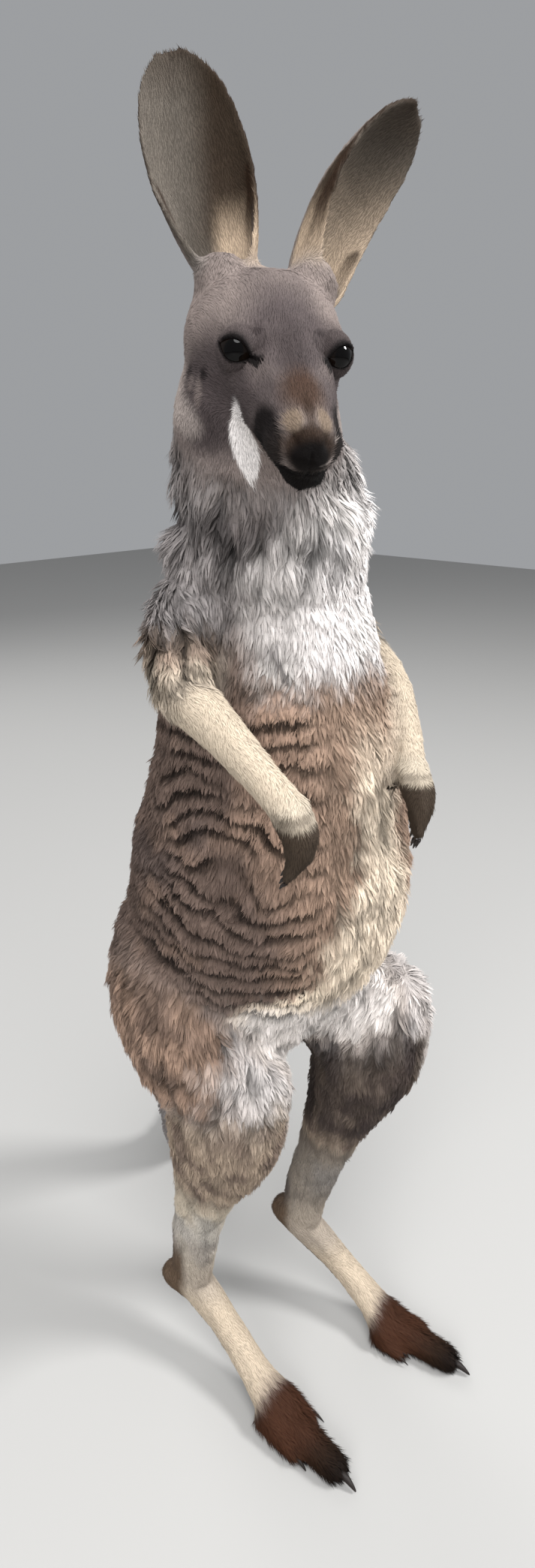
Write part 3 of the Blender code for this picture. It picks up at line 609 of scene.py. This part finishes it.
# Soft-edged patches of the face, in millimetres to the side, ahead and up of the eyes' middle:
# tone, middle, radii, strength, softness.
FACE_SPOTS = [
    # crown and brow, with the dark streak down the forehead
    ("mauve", (0, -35, 26), (22, 30, 20), 0.45, 0.35),
    ("mauve", (0, 16, 16), (33, 40, 20), 0.95, 0.45),
    ("dark_face", (0, 28, 13), (7.5, 26, 12), 0.7, 0.6),
    ("dark_face", (18.5, 8, 14), (3, 3, 3), 0.9, 0.35),
    # cheeks
    ("mauve", (40, 24, -20), (26, 50, 34), 0.95, 0.35),
    ("mauve", (48, 1, -34), (20, 26, 24), 0.95, 0.35),
    ("dark_face", (44, 12, -44), (14, 14, 10), 0.55, 0.6),
    ("brow", (22, 44, 6), (8, 14, 8), 0.55, 0.6),
    ("brow", (41.5, 6, -13), (3, 6, 8.5), 0.85, 0.35),
    ("brow", (47, -2, -26), (2.2, 7, 10), 0.6, 0.35),
    ("brow", (51, -11, -20), (2.6, 5, 12), 0.6, 0.35),
    ("black", (44.8, -4.4, -19), (3.2, 3.8, 4), 0.8, 0.35),
    ("black", (52, -18, -23), (3, 3.4, 5.5), 0.65, 0.35),
    ("pale_face", (54, -5, -46), (14, 16, 8.5), 0.6, 0.5),
    ("pale_face", (50, -40, -48), (30, 30, 20), 0.6, 0.35),
    # bridge of the nose and muzzle
    ("mauve", (18, 56, -2), (11, 24, 13), 0.85, 0.45),
    ("rust_nose", (0, 60, 9.5), (13.5, 18, 11), 0.95, 0.55),
    ("black", (20.2, 70.5, -14.5), (11.2, 21.5, 17), 0.92, 0.22),
    ("black", (19.5, 62, -29), (10, 21, 12), 0.95, 0.25),
    ("pale_face", (15, 60, -39), (7, 13, 7), 0.9, 0.35),
    ("black_brown", (0, 90, -4), (18, 12.5, 10), 0.95, 0.3),
    ("black_brown", (0, 76, 6), (3, 14, 6), 0.7, 0.5),
    # painted sheen: the nose's upper sides are laid lighter tan
    ("nose_sheen", (9.2, 78, 3.5), (5.6, 7, 5.2), 0.95, 0.4),
    ("black", (0, 94.5, -9.5), (13.8, 12, 10), 0.97, 0.32),
]
LIP_EDGE = [(15, 77, 0), (15.6, 83.6, -6.2), (15.8, 86.4, -10.4),
            (12.8, 89.4, -12.7), (9.3, 92.6, -13.1), (4.5, 94.5, -14)]
CHEEK_STRIPE = [(28.5, 23, -15), (27.4, 23.8, -29), (24, 24.6, -38.5),
                (20.8, 28.5, -46.5), (18, 34, -55), (16.8, 38.5, -62.5)]


def paint_head(paint, points, shares, ragged):
    """The face, by places to the side, ahead and up of the eyes' middle, the same on both sides."""
    at = in_head(points)
    at[:, 0] = np.abs(at[:, 0])
    at = at + (ragged * 0.001)[:, None]
    side, ahead, up = at.T
    head = shares["head"]
    before = paint.colour
    lay = paint.lay
    lay("brow", np.ones(len(points)))
    for tone, centre, reach, strength, edge in FACE_SPOTS:
        away = np.sqrt((((at - np.array(centre) / 1000) / (np.array(reach) / 1000)) ** 2).sum(axis=1))
        lay(tone, strength * ramp(1 + edge, 1 - edge, away))
    lip, along = distance_to_path(at, np.array(LIP_EDGE) / 1000)
    lay("pale_face", 0.95 * ramp(0.0016, 0.0005, lip) * ramp(-0.05, 0.25, along))
    # mouth and chin
    below_lip = up + 0.015 + 0.1 * np.clip(0.092 - ahead, 0, 0.03)
    lay("black", ramp(0.05, 0.058, ahead) * ramp(-0.0012, -0.003, below_lip) * ramp(0.0165, 0.0135, side))
    # white stripe down the cheek, widest halfway
    stripe, along = distance_to_path(at, np.array(CHEEK_STRIPE) / 1000)
    width = 0.0076 * ramp(-0.25, 0.34, along) * ramp(1.3, 0.55, along)
    lay("white", 0.95 * ramp(width + 0.0008, width - 0.001, stripe) * ramp(0.0, 0.14, along))
    # dark rims of the eyes, heavier above, with a streak back from the outer corner
    for eye_side in SIDES:
        _, reach, lens, high, wide, front, _ = round_eye(points, eye_side)
        rim = ramp(1.1 + 0.2 * np.clip(high / 0.35, 0, 1), 1.04, lens) * (reach < 0.024)
        lay("dark_face", 0.6 * ramp(2.1, 1.2, lens) * (high > -0.2) * (reach < 0.019))
        lay("black", 0.95 * rim)
        streak = ramp(0.16, 0.06, np.abs(high - 0.06 - 0.1 * wide)) * ramp(0.62, 0.72, wide)
        lay("dark_face", 0.85 * streak * ramp(1.25, 1.0, wide) * (reach < 0.02) * (front > -0.2))
    paint.colour = before * (1 - head[:, None]) + paint.colour * head[:, None]


# the hollow of each ear: where it faces, and the way across it towards the head's middle
EAR_HOLLOW = {"right": unit(np.array([-0.62, -0.78, 0.0])), "left": unit(np.array([0.3, -0.95, 0.0]))}
EAR_ACROSS = {"right": unit(np.array([-0.78, 0.62, 0.0])), "left": unit(np.array([0.95, 0.3, 0.0]))}


def paint_ears(paint, points, normals, shares):
    """The ears, by height and by the way across them; the right one's hollow is laid darker, painted shade
    over its brown lining.
    """
    ear = shares["ear"]
    before = paint.colour
    lay = paint.lay
    for ear_side in SIDES:
        low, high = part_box("ear_" + ear_side)
        rise = (points[:, 2] - low[2]) / (high[2] - low[2])
        mine = (points[:, 0] < SPINE[0] + 0.004) == (ear_side == "right")
        hollow = ramp(0.0, 0.25, normals @ EAR_HOLLOW[ear_side])
        inside = hollow * mine
        outside = (1 - hollow) * mine
        middle = (points - np.array(middle_of("ear_" + ear_side))) @ EAR_ACROSS[ear_side]
        # painted shade in the right ear's hollow, over the brown lining that both ears have
        if ear_side == "right":
            brown = 0.88 * inside * ramp(0.014, -0.01, middle)
            cream = inside * ramp(0.49, 0.23, rise) * ramp(-0.002, -0.014, middle)
        else:
            brown = 0.28 * inside * ramp(0.1, 0.9, rise)
            cream = inside * ramp(0.85, 0.25, rise)
        lay("ear_grey", inside + outside)
        lay("brow", 0.6 * outside)
        lay("ear_brown", brown * ramp(0.12, 0.34, rise))
        lay("ear_brown", 0.45 * inside * ramp(0.75, 0.95, rise))
        lay("warm_cream", 0.75 * cream)
        lay("black_brown", 0.9 * shares["ear_edge"] * mine * ramp(0.12, 0.45, rise))
        lay("black_brown", 0.75 * (inside + outside) * ramp(0.93, 1.0, rise))
    paint.colour = before * (1 - ear[:, None]) + paint.colour * ear[:, None]


skin_normals = normals_at(skin_points)
edge_on = np.zeros(len(skin_points))
for side in SIDES:
    on_ear = part_of == FLESH.index("ear_" + side)
    edge_on += on_ear * (np.abs(skin_normals @ EAR_HOLLOW[side]) < 0.4)
share["ear_edge"] = np.clip(1.7 * spread(edge_on, 2)[:, 0], 0, 1)


def shade_smooth(mesh):
    mesh.polygons.foreach_set("use_smooth", np.ones(len(mesh.polygons), dtype=bool))


skin.data.vertices.foreach_set("co", skin_points.ravel())
shade_smooth(skin.data)
skin.data.update()


def set_tone(mesh, colours):
    layer = mesh.color_attributes.new(name="tone", type="FLOAT_COLOR", domain="POINT")
    layer.data.foreach_set("color", np.column_stack((colours, np.ones(len(colours)))).ravel())


SKIN_SHADE = 0.62          # the skin is darker than the hair over it: painted shade under the coat, with the darker underfur
set_tone(skin.data, coat_colour(skin_points, skin_normals, share) * SKIN_SHADE)


class Node:
    """A socket of a shader, with arithmetic that adds the nodes it needs."""

    def __init__(self, tree, socket):
        self.tree = tree
        self.socket = socket

    def new(self, kind, settings=None, output=0, **inputs):
        node = self.tree.nodes.new(kind)
        for key, value in (settings or {}).items():
            setattr(node, key, value)
        for key, value in inputs.items():
            slot = node.inputs[int(key[1:]) if key[1:].isdigit() else key]
            if isinstance(value, Node):
                self.tree.links.new(value.socket, slot)
            else:
                slot.default_value = value
        return Node(self.tree, node.outputs[output])

    def maths(self, operation, other):
        return self.new("ShaderNodeMath", {"operation": operation}, i0=self, i1=other)

    def __add__(self, other):
        return self.maths("ADD", other)

    def __mul__(self, other):
        return self.maths("MULTIPLY", other)

    def __sub__(self, other):
        return self.maths("SUBTRACT", other)

    def blend(self, first, second):
        """Two colours mixed, with this as the second one's share."""
        return self.new("ShaderNodeMix", {"data_type": "RGBA"}, output=2, i0=self, i6=first, i7=second)

    def into(self, surface, name):
        self.tree.links.new(self.socket, surface.inputs[name])


def new_material(name, roughness, specular=0.5):
    """A material, its surface shader and the place on the object as a socket."""
    material = bpy.data.materials.new(name)
    material.use_nodes = True
    tree = material.node_tree
    surface = tree.nodes["Principled BSDF"]
    surface.inputs["Roughness"].default_value = roughness
    surface.inputs["Specular IOR Level"].default_value = specular
    place = tree.nodes.new("ShaderNodeTexCoord")
    return material, surface, Node(tree, place.outputs["Object"])


def hair_material(name, roughness, grain, bump):
    """Hair in the tones of the coat, with a fine grain of single hairs."""
    material, surface, place = new_material(name, roughness, 0.12)
    tone = place.new("ShaderNodeAttribute", {"attribute_name": "tone"})
    strands = place.new("ShaderNodeTexNoise", Vector=place, Scale=grain, Detail=3.0, Roughness=0.65)
    shade = strands * 0.5 + 0.75
    grey = place.new("ShaderNodeCombineColor", i0=shade, i1=shade, i2=shade)
    colour = place.new("ShaderNodeMix", {"data_type": "RGBA", "blend_type": "MULTIPLY"}, output=2,
                       i0=1.0, i6=tone, i7=grey)
    colour.into(surface, "Base Color")
    place.new("ShaderNodeBump", i0=bump, i1=0.0008, Height=strands).into(surface, "Normal")
    return material


skin.data.materials.append(hair_material("skin", 0.85, 900.0, 0.6))
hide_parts(*FLESH)
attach(skin, "root")

# ---- the lie and length of the coat
# Hair runs back from the nose over the crown, down the neck and trunk and along each limb to its end;
# it is long on neck, trunk and thighs, and short on face, forearms and feet.
LIE_BLEND = 24             # passes that blend the lie from part to part
LIE_STRAY = 0.22           # how far single patches stray from it


def from_to(start, end):
    return np.array((middle_of(end) - middle_of(start)).normalized())


LIE = {"neck": (0.0, 0.25, -1.0), "chest": (0.0, 0.12, -1.0), "belly": (0.0, 0.15, -1.0),
       "rump": (0.0, 0.25, -1.0), "tail_base": from_to("tail_base", "tail_middle"),
       "tail_middle": (0.25, 0.25, -1.0), "tail_tip": from_to("tail_middle", "tail_tip"),
       "ear_right": (-0.0085, 0.041, 0.134), "ear_left": (0.0765, -0.042, 0.111)}
ALONG = [("upper_arm_", "forearm_"), ("forearm_", "hand_"), ("shin_", "foot_"), ("foot_", "toes_")]
for side in SIDES:
    for part, after in ALONG:
        LIE[part + side] = from_to(part + side, after + side)
    LIE["upper_arm_" + side] += np.array((0, 0, -0.6))
    LIE["hand_" + side] = LIE["thigh_" + side] = (0.0, 0.1, -1.0)
    LIE["toes_" + side] = (0.0, -1.0, -0.1)
head_back = to_head @ np.array([0.0, -1.0, -0.15])
head_at = in_head(skin_points)
hanging = np.maximum(ramp(-0.018, -0.045, head_at[:, 2]), ramp(-0.02, -0.06, head_at[:, 1]))[:, None]
lie = head_back * (1 - hanging) + np.array([0, 0, -1.0]) * hanging
for index, name in enumerate(FLESH):
    if name != "head":
        lie[part_of == index] = unit(np.array(LIE[name]))
lie = spread(lie, LIE_BLEND)
lie = lie + LIE_STRAY * np.stack([noise(skin_points, 0.03, seed) for seed in (31, 32, 33)], axis=1)
lie = unit(lie - skin_normals * (lie * skin_normals).sum(axis=1, keepdims=True))

LONG_HAIR = 0.0085         # hair longer than this grows in clumps, with bent locks among it


def eye_distance(points):
    return np.minimum(*[np.linalg.norm(points - np.array(eye_middle[side]), axis=1) for side in SIDES])


# the hair is shortest on the lids, the lips and the end of the muzzle
muzzle_end = np.linalg.norm(head_at - np.array([0, 0.086, -0.008]), axis=1)
shortest = np.maximum(ramp(0.0165, 0.014, eye_distance(skin_points)), 0.75 * ramp(0.017, 0.011, muzzle_end))
hair_length = from_coat(1) * (1 - 0.45 * low_on_shin) * (1 - 0.55 * shortest)
hair_spacing = from_coat(4) * (1 - 0.06 * low_on_shin)

# ---- the coat
# Each tuft is a thin closed solid, rooted under the skin, laid along the hair and drawn towards the tip
# of its clump. Most are straight; of the long ones, one in ten is a broader lock that bends once.
SEED = 7
CANDIDATES = 2.0           # points tried for each tuft that is kept
CELL = 0.0015              # the grid that keeps tufts apart, in steps of a ratio round this size
CELL_RATIO = 1.12
LOCKS_AMONG = 0.1          # share of the long tufts that are bent locks
THICKNESS = 0.42           # of a tuft, in its widths, like the depth of its root under the skin
ROOT_SINK = 0.25
OWN_FACETS = 0.35          # weight of a tuft's own facets in its shading, against the skin's normal
UV_PATCH = 0.003           # size of a tuft's place on the skin's UV map
random = np.random.default_rng(SEED)
bpy.context.view_layer.objects.active = skin
skin.select_set(True)
bpy.ops.object.mode_set(mode="EDIT")
bpy.ops.mesh.select_all(action="SELECT")
bpy.ops.uv.smart_project(angle_limit=math.radians(66), island_margin=0.002)
bpy.ops.object.mode_set(mode="OBJECT")
skin.data.uv_layers.active.name = "OFBake"
face_uv = read_all(skin.data.uv_layers.active.uv, "vector", 2).reshape(-1, 3, 2)

corner = [skin_points[skin_faces[:, k]] for k in range(3)]
face_area = np.linalg.norm(np.cross(corner[1] - corner[0], corner[2] - corner[0]), axis=1) / 2
face_spacing = hair_spacing[skin_faces].mean(axis=1)
wanted = face_area / face_spacing ** 2 * CANDIDATES
counts = np.floor(wanted + random.random(len(wanted))).astype(int)
root_face = np.repeat(np.arange(len(skin_faces)), counts)
random.shuffle(root_face)
spin = random.random((len(root_face), 2))
spin = np.where(spin.sum(axis=1, keepdims=True) > 1, 1 - spin, spin)
weights = np.column_stack((1 - spin.sum(axis=1), spin))


def at_roots(values):
    """Values of the skin's points, read at every root."""
    shaped = np.asarray(values)[skin_faces[root_face]]
    return np.einsum("ij,ij...->i...", weights, shaped)


def first_in_cells(points, size, group, shift=0.0):
    """The first point in every cell of a grid of that size, each group in a grid of its own."""
    cells = np.floor(points / size[:, None] + shift).astype(np.int64)
    keys = (group.astype(np.int64) * 4096 + cells[:, 0] + 1024) * 4096 + cells[:, 1] + 1024
    return np.unique(keys * 4096 + cells[:, 2], return_index=True)[1]


roots = at_roots(skin_points)
steps = np.round(np.log(face_spacing[root_face] / CELL) / np.log(CELL_RATIO))
kept = np.sort(first_in_cells(roots, CELL * CELL_RATIO ** steps.astype(int), steps))
root_face, weights, roots = root_face[kept], weights[kept], roots[kept]
root_normal = unit(at_roots(skin_normals))
root_lie = unit(at_roots(lie))
root_kind = kind[skin_faces[root_face, 0]]
root_length = at_roots(hair_length)
root_width = at_roots(from_coat(2) * (1 - 0.15 * low_on_shin))
root_lift = at_roots(np.radians(from_coat(3)) * (1 - 0.4 * low_on_shin))
root_light = at_roots(from_coat(5) + 0.16 * low_on_shin)
root_share = {name: at_roots(values) for name, values in share.items()}
root_colour = coat_colour(roots, root_normal, root_share)
root_uv = np.einsum("ij,ijk->ik", weights, face_uv[root_face])
# no hair grows in the eyes' openings or on the leathery pad between the nostrils
side, ahead, up = in_head(roots).T
bare = ((side / 0.01) ** 2 + ((up + 0.0085) / 0.0068) ** 2 < 1) & (ahead > 0.08)
bare |= eye_distance(roots) < EYE_RADIUS + 0.0004

_, shade, waved, phase = relief(roots, root_share)
_, chance, way = clump_at(roots)

# every tuft is drawn to the tip of its small clump's leader, the nearest of the first roots in a grid
clump_size = np.where(root_length > LONG_HAIR, 0.007, 0.0032)
leaders = first_in_cells(roots, clump_size, np.round(clump_size * 1e5), 0.37)
tree = KDTree(len(leaders))
for index, leader in enumerate(leaders):
    tree.insert(roots[leader], index)
tree.balance()
leader = leaders[np.array([tree.find(root)[1] for root in roots])]

jitter = random.normal(size=(len(roots), 3))
variety = random.random(len(roots))
clump_variety = lattice(np.floor(roots[leader] * 4000).astype(np.int64), 77)
length = root_length * (0.78 + 0.44 * variety) * (1 + 0.18 * clump_variety)
row_length = np.clip(phase * RIDGE_STEP + 0.0026, 0.0045, 0.0072) * (0.88 + 0.24 * variety)
length = length * (1 - waved) + row_length * waved
lift = root_lift * (1 + 0.35 * clump_variety + 0.25 * jitter[:, 0])
across = unit(np.cross(root_normal, root_lie))
heading = unit(root_lie + across * (0.13 * jitter[:, 1] + 0.18 * clump_variety + 0.22 * chance)[:, None])
tip = roots + (heading * np.cos(lift)[:, None] + root_normal * np.sin(lift)[:, None]) * length[:, None]
clumping = np.where(root_length > LONG_HAIR, 0.6, 0.25)
near_leader = np.clip(1 - np.linalg.norm(roots - roots[leader], axis=1) / (1.3 * clump_size), 0, 1)
tip = tip + (tip[leader] - tip) * (clumping * near_leader)[:, None]
# the tips are drawn sideways to the middle of the pelt's clumps, and their colour carries painted light and
# shade by where they end
down = (way * root_lie).sum(axis=1)
sideways = way - root_lie * down[:, None] - root_normal * (way * root_normal).sum(axis=1)[:, None]
gathered = clumped_at(root_share) * (1 - waved)
gathered = np.clip(gathered, 0, 1) * np.clip(0.45 - down / 0.02, 0.1, 0.8)
tip = tip + sideways * gathered[:, None]
row_light = light_at("tip", ramp(0.3, 0.55, phase - row_length / RIDGE_STEP))
tip_light = relief(tip, root_share)[1] * (1 - waved) + row_light * waved
own_shade = 1 + (0.15 * (variety - 0.5) + 0.08 * clump_variety) * ramp(0.001, 0.01, root_length)
tip_shade = own_shade * 1.05 * np.clip(tip_light / shade, 0.3, 5.0)
root_shade = own_shade * root_light
width = root_width * (0.85 + 0.3 * random.random(len(roots)))
lock = (root_length > LONG_HAIR) & (random.random(len(roots)) < LOCKS_AMONG)
width = width * (1 + 0.9 * lock)


def grow_coat(name, chosen, bent):
    """One mesh of closed tufts over the chosen roots."""
    index = np.flatnonzero(chosen & ~bare)
    normal = root_normal[index]
    wide = width[index][:, None]
    start = roots[index] - normal * (ROOT_SINK * wide) - heading[index] * 0.0004
    end = tip[index]
    half = across[index] * (wide / 2)
    rise = normal * (wide * THICKNESS)
    if bent:
        reach = np.linalg.norm(end - start, axis=1, keepdims=True)
        elbow = start + (heading[index] * 0.9 + normal * 0.75) * reach * 0.42
        bend = 0.25 * start + 0.5 * elbow + 0.25 * end
        rings = [(start, 0.8), (bend, 1.0)]
    else:
        rings = [(start, 1.0)]
    verts = [centre + shift * size for centre, size in rings for shift in (-half, half, rise)]
    verts = np.stack(verts + [end], axis=1)
    verts[..., 2] = np.maximum(verts[..., 2], FLOOR_LEVEL)
    per = verts.shape[1]
    edges = ((0, 1), (1, 2), (2, 0))
    faces = [(0, 2, 1)]
    if bent:
        faces += [face for a, b in edges for face in ((a, b, b + 3), (a, b + 3, a + 3))]
    faces += [(per - 4 + a, per - 4 + b, per - 1) for a, b in edges]
    all_faces = (np.array(faces) + (np.arange(len(index)) * per)[:, None, None]).reshape(-1, 3)
    mesh = bpy.data.meshes.new(name)
    mesh.vertices.add(len(index) * per)
    mesh.vertices.foreach_set("co", verts.ravel())
    mesh.loops.add(len(all_faces) * 3)
    mesh.loops.foreach_set("vertex_index", all_faces.ravel())
    mesh.polygons.add(len(all_faces))
    mesh.polygons.foreach_set("loop_start", np.arange(len(all_faces)) * 3)
    shade_smooth(mesh)
    mesh.update(calc_edges=True)
    facing = read_all(mesh.vertices, "normal", 3) * OWN_FACETS + np.repeat(normal, per, axis=0)
    mesh.normals_split_custom_set_from_vertices(unit(facing))
    # the roots carry painted shade under the coat with the darker underfur; the tips carry the relief's
    # painted light and shade
    dark = root_colour[index] * root_shade[index][:, None]
    light = root_colour[index] * tip_shade[index][:, None]
    tones = [dark] * 3 + ([(dark + light) / 2] * 3 if bent else []) + [light]
    set_tone(mesh, np.stack(tones, axis=1).reshape(-1, 3))
    upward = [0.0] * 3 + ([0.5] * 3 if bent else []) + [1.0]
    sideways = [0.0, 1.0, 0.5] * len(rings) + [0.5]
    patch = np.column_stack((sideways, upward)) * UV_PATCH - UV_PATCH / 2
    places = (root_uv[index][:, None] + patch).reshape(-1, 2)
    mesh.uv_layers.new(name="OFBake").uv.foreach_set("vector", places[all_faces.ravel()].ravel())
    piece = new_object(name, mesh)
    mesh.materials.append(hair)
    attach(piece, "root")


hair = hair_material("hair", 0.72, 1400.0, 0.3)
PIECES = [  # its name, the kinds of part it grows on, its slot
    ("fur_neck", ("neck",), "grey_fur"), ("fur_chest", ("chest",), "grey_fur"),
    ("fur_belly", ("belly",), "brown_fur"), ("fur_rump", ("rump",), "brown_fur"),
    ("fur_tail", TAIL, "brown_fur"), ("fur_thighs", ("thigh",), "brown_fur"),
    ("fur_shins", ("shin",), "cream_fur"), ("fur_upper_arms", ("upper_arm",), "grey_fur"),
    ("locks_trunk", ("neck", "chest", "belly", "upper_arm"), "grey_fur"),
    ("locks_hindquarters", ("rump", "thigh", "shin"), "brown_fur"), ("locks_tail", TAIL, "brown_fur"),
    ("fur_head", ("head",), "grey_fur"), ("fur_ears", ("ear",), "grey_fur"),
    ("fur_forearms", ("forearm",), "cream_fur"), ("fur_feet", ("foot",), "cream_fur"),
    ("fur_hands_and_toes", ("hand", "toes"), "dark_fur"),
]


def grows_on(*kinds):
    return np.isin(root_kind, [KINDS.index(kind) for kind in kinds])


lock &= ~grows_on("head", "ear", "forearm", "foot", "hand", "toes")
for name, kinds, slot in PIECES:
    bent = name.startswith("locks")
    grow_coat(name, grows_on(*kinds) & (lock == bent), bent)

# ---- eyes
# Large dark eyes: a wet ball with a slightly bulging cornea over a brown iris that is nearly black.
CORNEA_BULGE = 0.0008
for side in SIDES:
    bm = bmesh.new()
    bmesh.ops.create_uvsphere(bm, u_segments=48, v_segments=32, radius=EYE_RADIUS)
    gaze = Vector(unit(to_head @ np.array(GAZE[side])))
    for vert in bm.verts:
        toward = max(0.0, (vert.co.normalized().dot(gaze) - 0.8) / 0.2)
        vert.co += vert.co.normalized() * CORNEA_BULGE * toward
    bmesh.ops.translate(bm, verts=bm.verts, vec=eye_middle[side])
    ball = new_object("eyeball_" + side, mesh_of(bm, "eyeball_" + side))
    shade_smooth(ball.data)
    material, surface, place = new_material("eye_" + side, 0.06, 0.14)
    away = place.new("ShaderNodeVectorMath", {"operation": "DISTANCE"}, output=1, i0=place,
                     i1=eye_middle[side] + gaze * EYE_RADIUS)
    fibres = place.new("ShaderNodeTexNoise", Vector=place, Scale=700.0, Detail=4.0)
    past_pupil = place.new("ShaderNodeClamp", i0=away * 900.0 - 4.6)
    iris = past_pupil.blend((0.001, 0.001, 0.001, 1), (0.005, 0.003, 0.002, 1))
    (fibres * 0.4).blend(iris, (0.003, 0.002, 0.002, 1)).into(surface, "Base Color")
    surface.inputs["Coat Weight"].default_value = 0.05
    surface.inputs["Coat Roughness"].default_value = 0.02
    ball.data.materials.append(material)
    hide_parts("eye_" + side)
    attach(ball, "root")

# ---- claws
# Dark horn, smooth and slightly streaked; the solids are rounded off by subdivision.
material, surface, place = new_material("claw_horn", 0.55, 0.25)
streaks = place.new("ShaderNodeTexNoise", Vector=place, Scale=500.0, Detail=3.0)
streaks.blend((0.006, 0.005, 0.005, 1), (0.028, 0.021, 0.018, 1)).into(surface, "Base Color")
for node in sorted(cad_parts):
    if "_claw_" in node:
        claw = new_object(node + "_horn", mesh_of(solid_copy(node), node + "_horn"))
        rounded = claw.modifiers.new("rounded", "SUBSURF")
        rounded.levels = rounded.render_levels = 1
        apply_modifiers(claw)
        shade_smooth(claw.data)
        claw.data.materials.append(material)
        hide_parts(node)
        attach(claw, "root")

# ---- floor, light and camera
# A plain pale floor, a key light from the animal's left front, a soft fill from its right, one lamp behind,
# one above, and a grey sky. Only the key and the top lamp are mirrored in the eyes.
bm = bmesh.new()
bmesh.ops.create_grid(bm, x_segments=1, y_segments=1, size=6.0)
floor = new_object("floor", mesh_of(bm, "floor"))
material, surface, place = new_material("floor", 0.9)
surface.inputs["Base Color"].default_value = (0.4, 0.395, 0.385, 1)
floor.data.materials.append(material)

middle = (solid_low + solid_high) / 2
LAMPS = {  # from the middle of the animal: x, y, z; size; watts
    "key": ((1.6, -2.4, 2.4), 0.9, 138.0),
    "fill": ((-2.6, -1.2, 1.2), 2.2, 62.0),
    "back": ((0.6, 2.6, 1.8), 1.8, 40.0),
    "top": ((-0.9, -1.1, 2.6), 1.8, 74.0),
}
for name, (offset, size, power) in LAMPS.items():
    lamp = bpy.data.lights.new(name, "AREA")
    lamp.shape = "DISK"
    lamp.size = size
    lamp.energy = power
    holder = new_object(name, lamp)
    holder.visible_glossy = name in ("key", "top")
    holder.location = middle + Vector(offset)
    holder.rotation_euler = (-Vector(offset)).to_track_quat("-Z", "Y").to_euler()
world = bpy.data.worlds.new("studio")
world.use_nodes = True
sky = world.node_tree.nodes["Background"].inputs
sky["Color"].default_value = (0.8, 0.82, 0.85, 1)
sky["Strength"].default_value = 0.42
bpy.context.scene.world = world
bpy.context.scene.view_settings.view_transform = "Standard"

CAMERA_PLACE = Vector((-0.5798, -0.5289, 0.9))
CAMERA_HEADING = Vector((0.7431, 0.6691, 0.0))
CAMERA_DIP = math.radians(22)
camera = bpy.data.cameras.new("camera")
camera.sensor_width = 36.0
camera.lens = 18.957
camera.clip_start = 0.02
viewer = new_object("camera", camera)
viewer.location = CAMERA_PLACE
sight = CAMERA_HEADING * math.cos(CAMERA_DIP) - Vector((0, 0, math.sin(CAMERA_DIP)))
viewer.rotation_euler = sight.to_track_quat("-Z", "Y").to_euler()
bpy.context.scene.camera = viewer
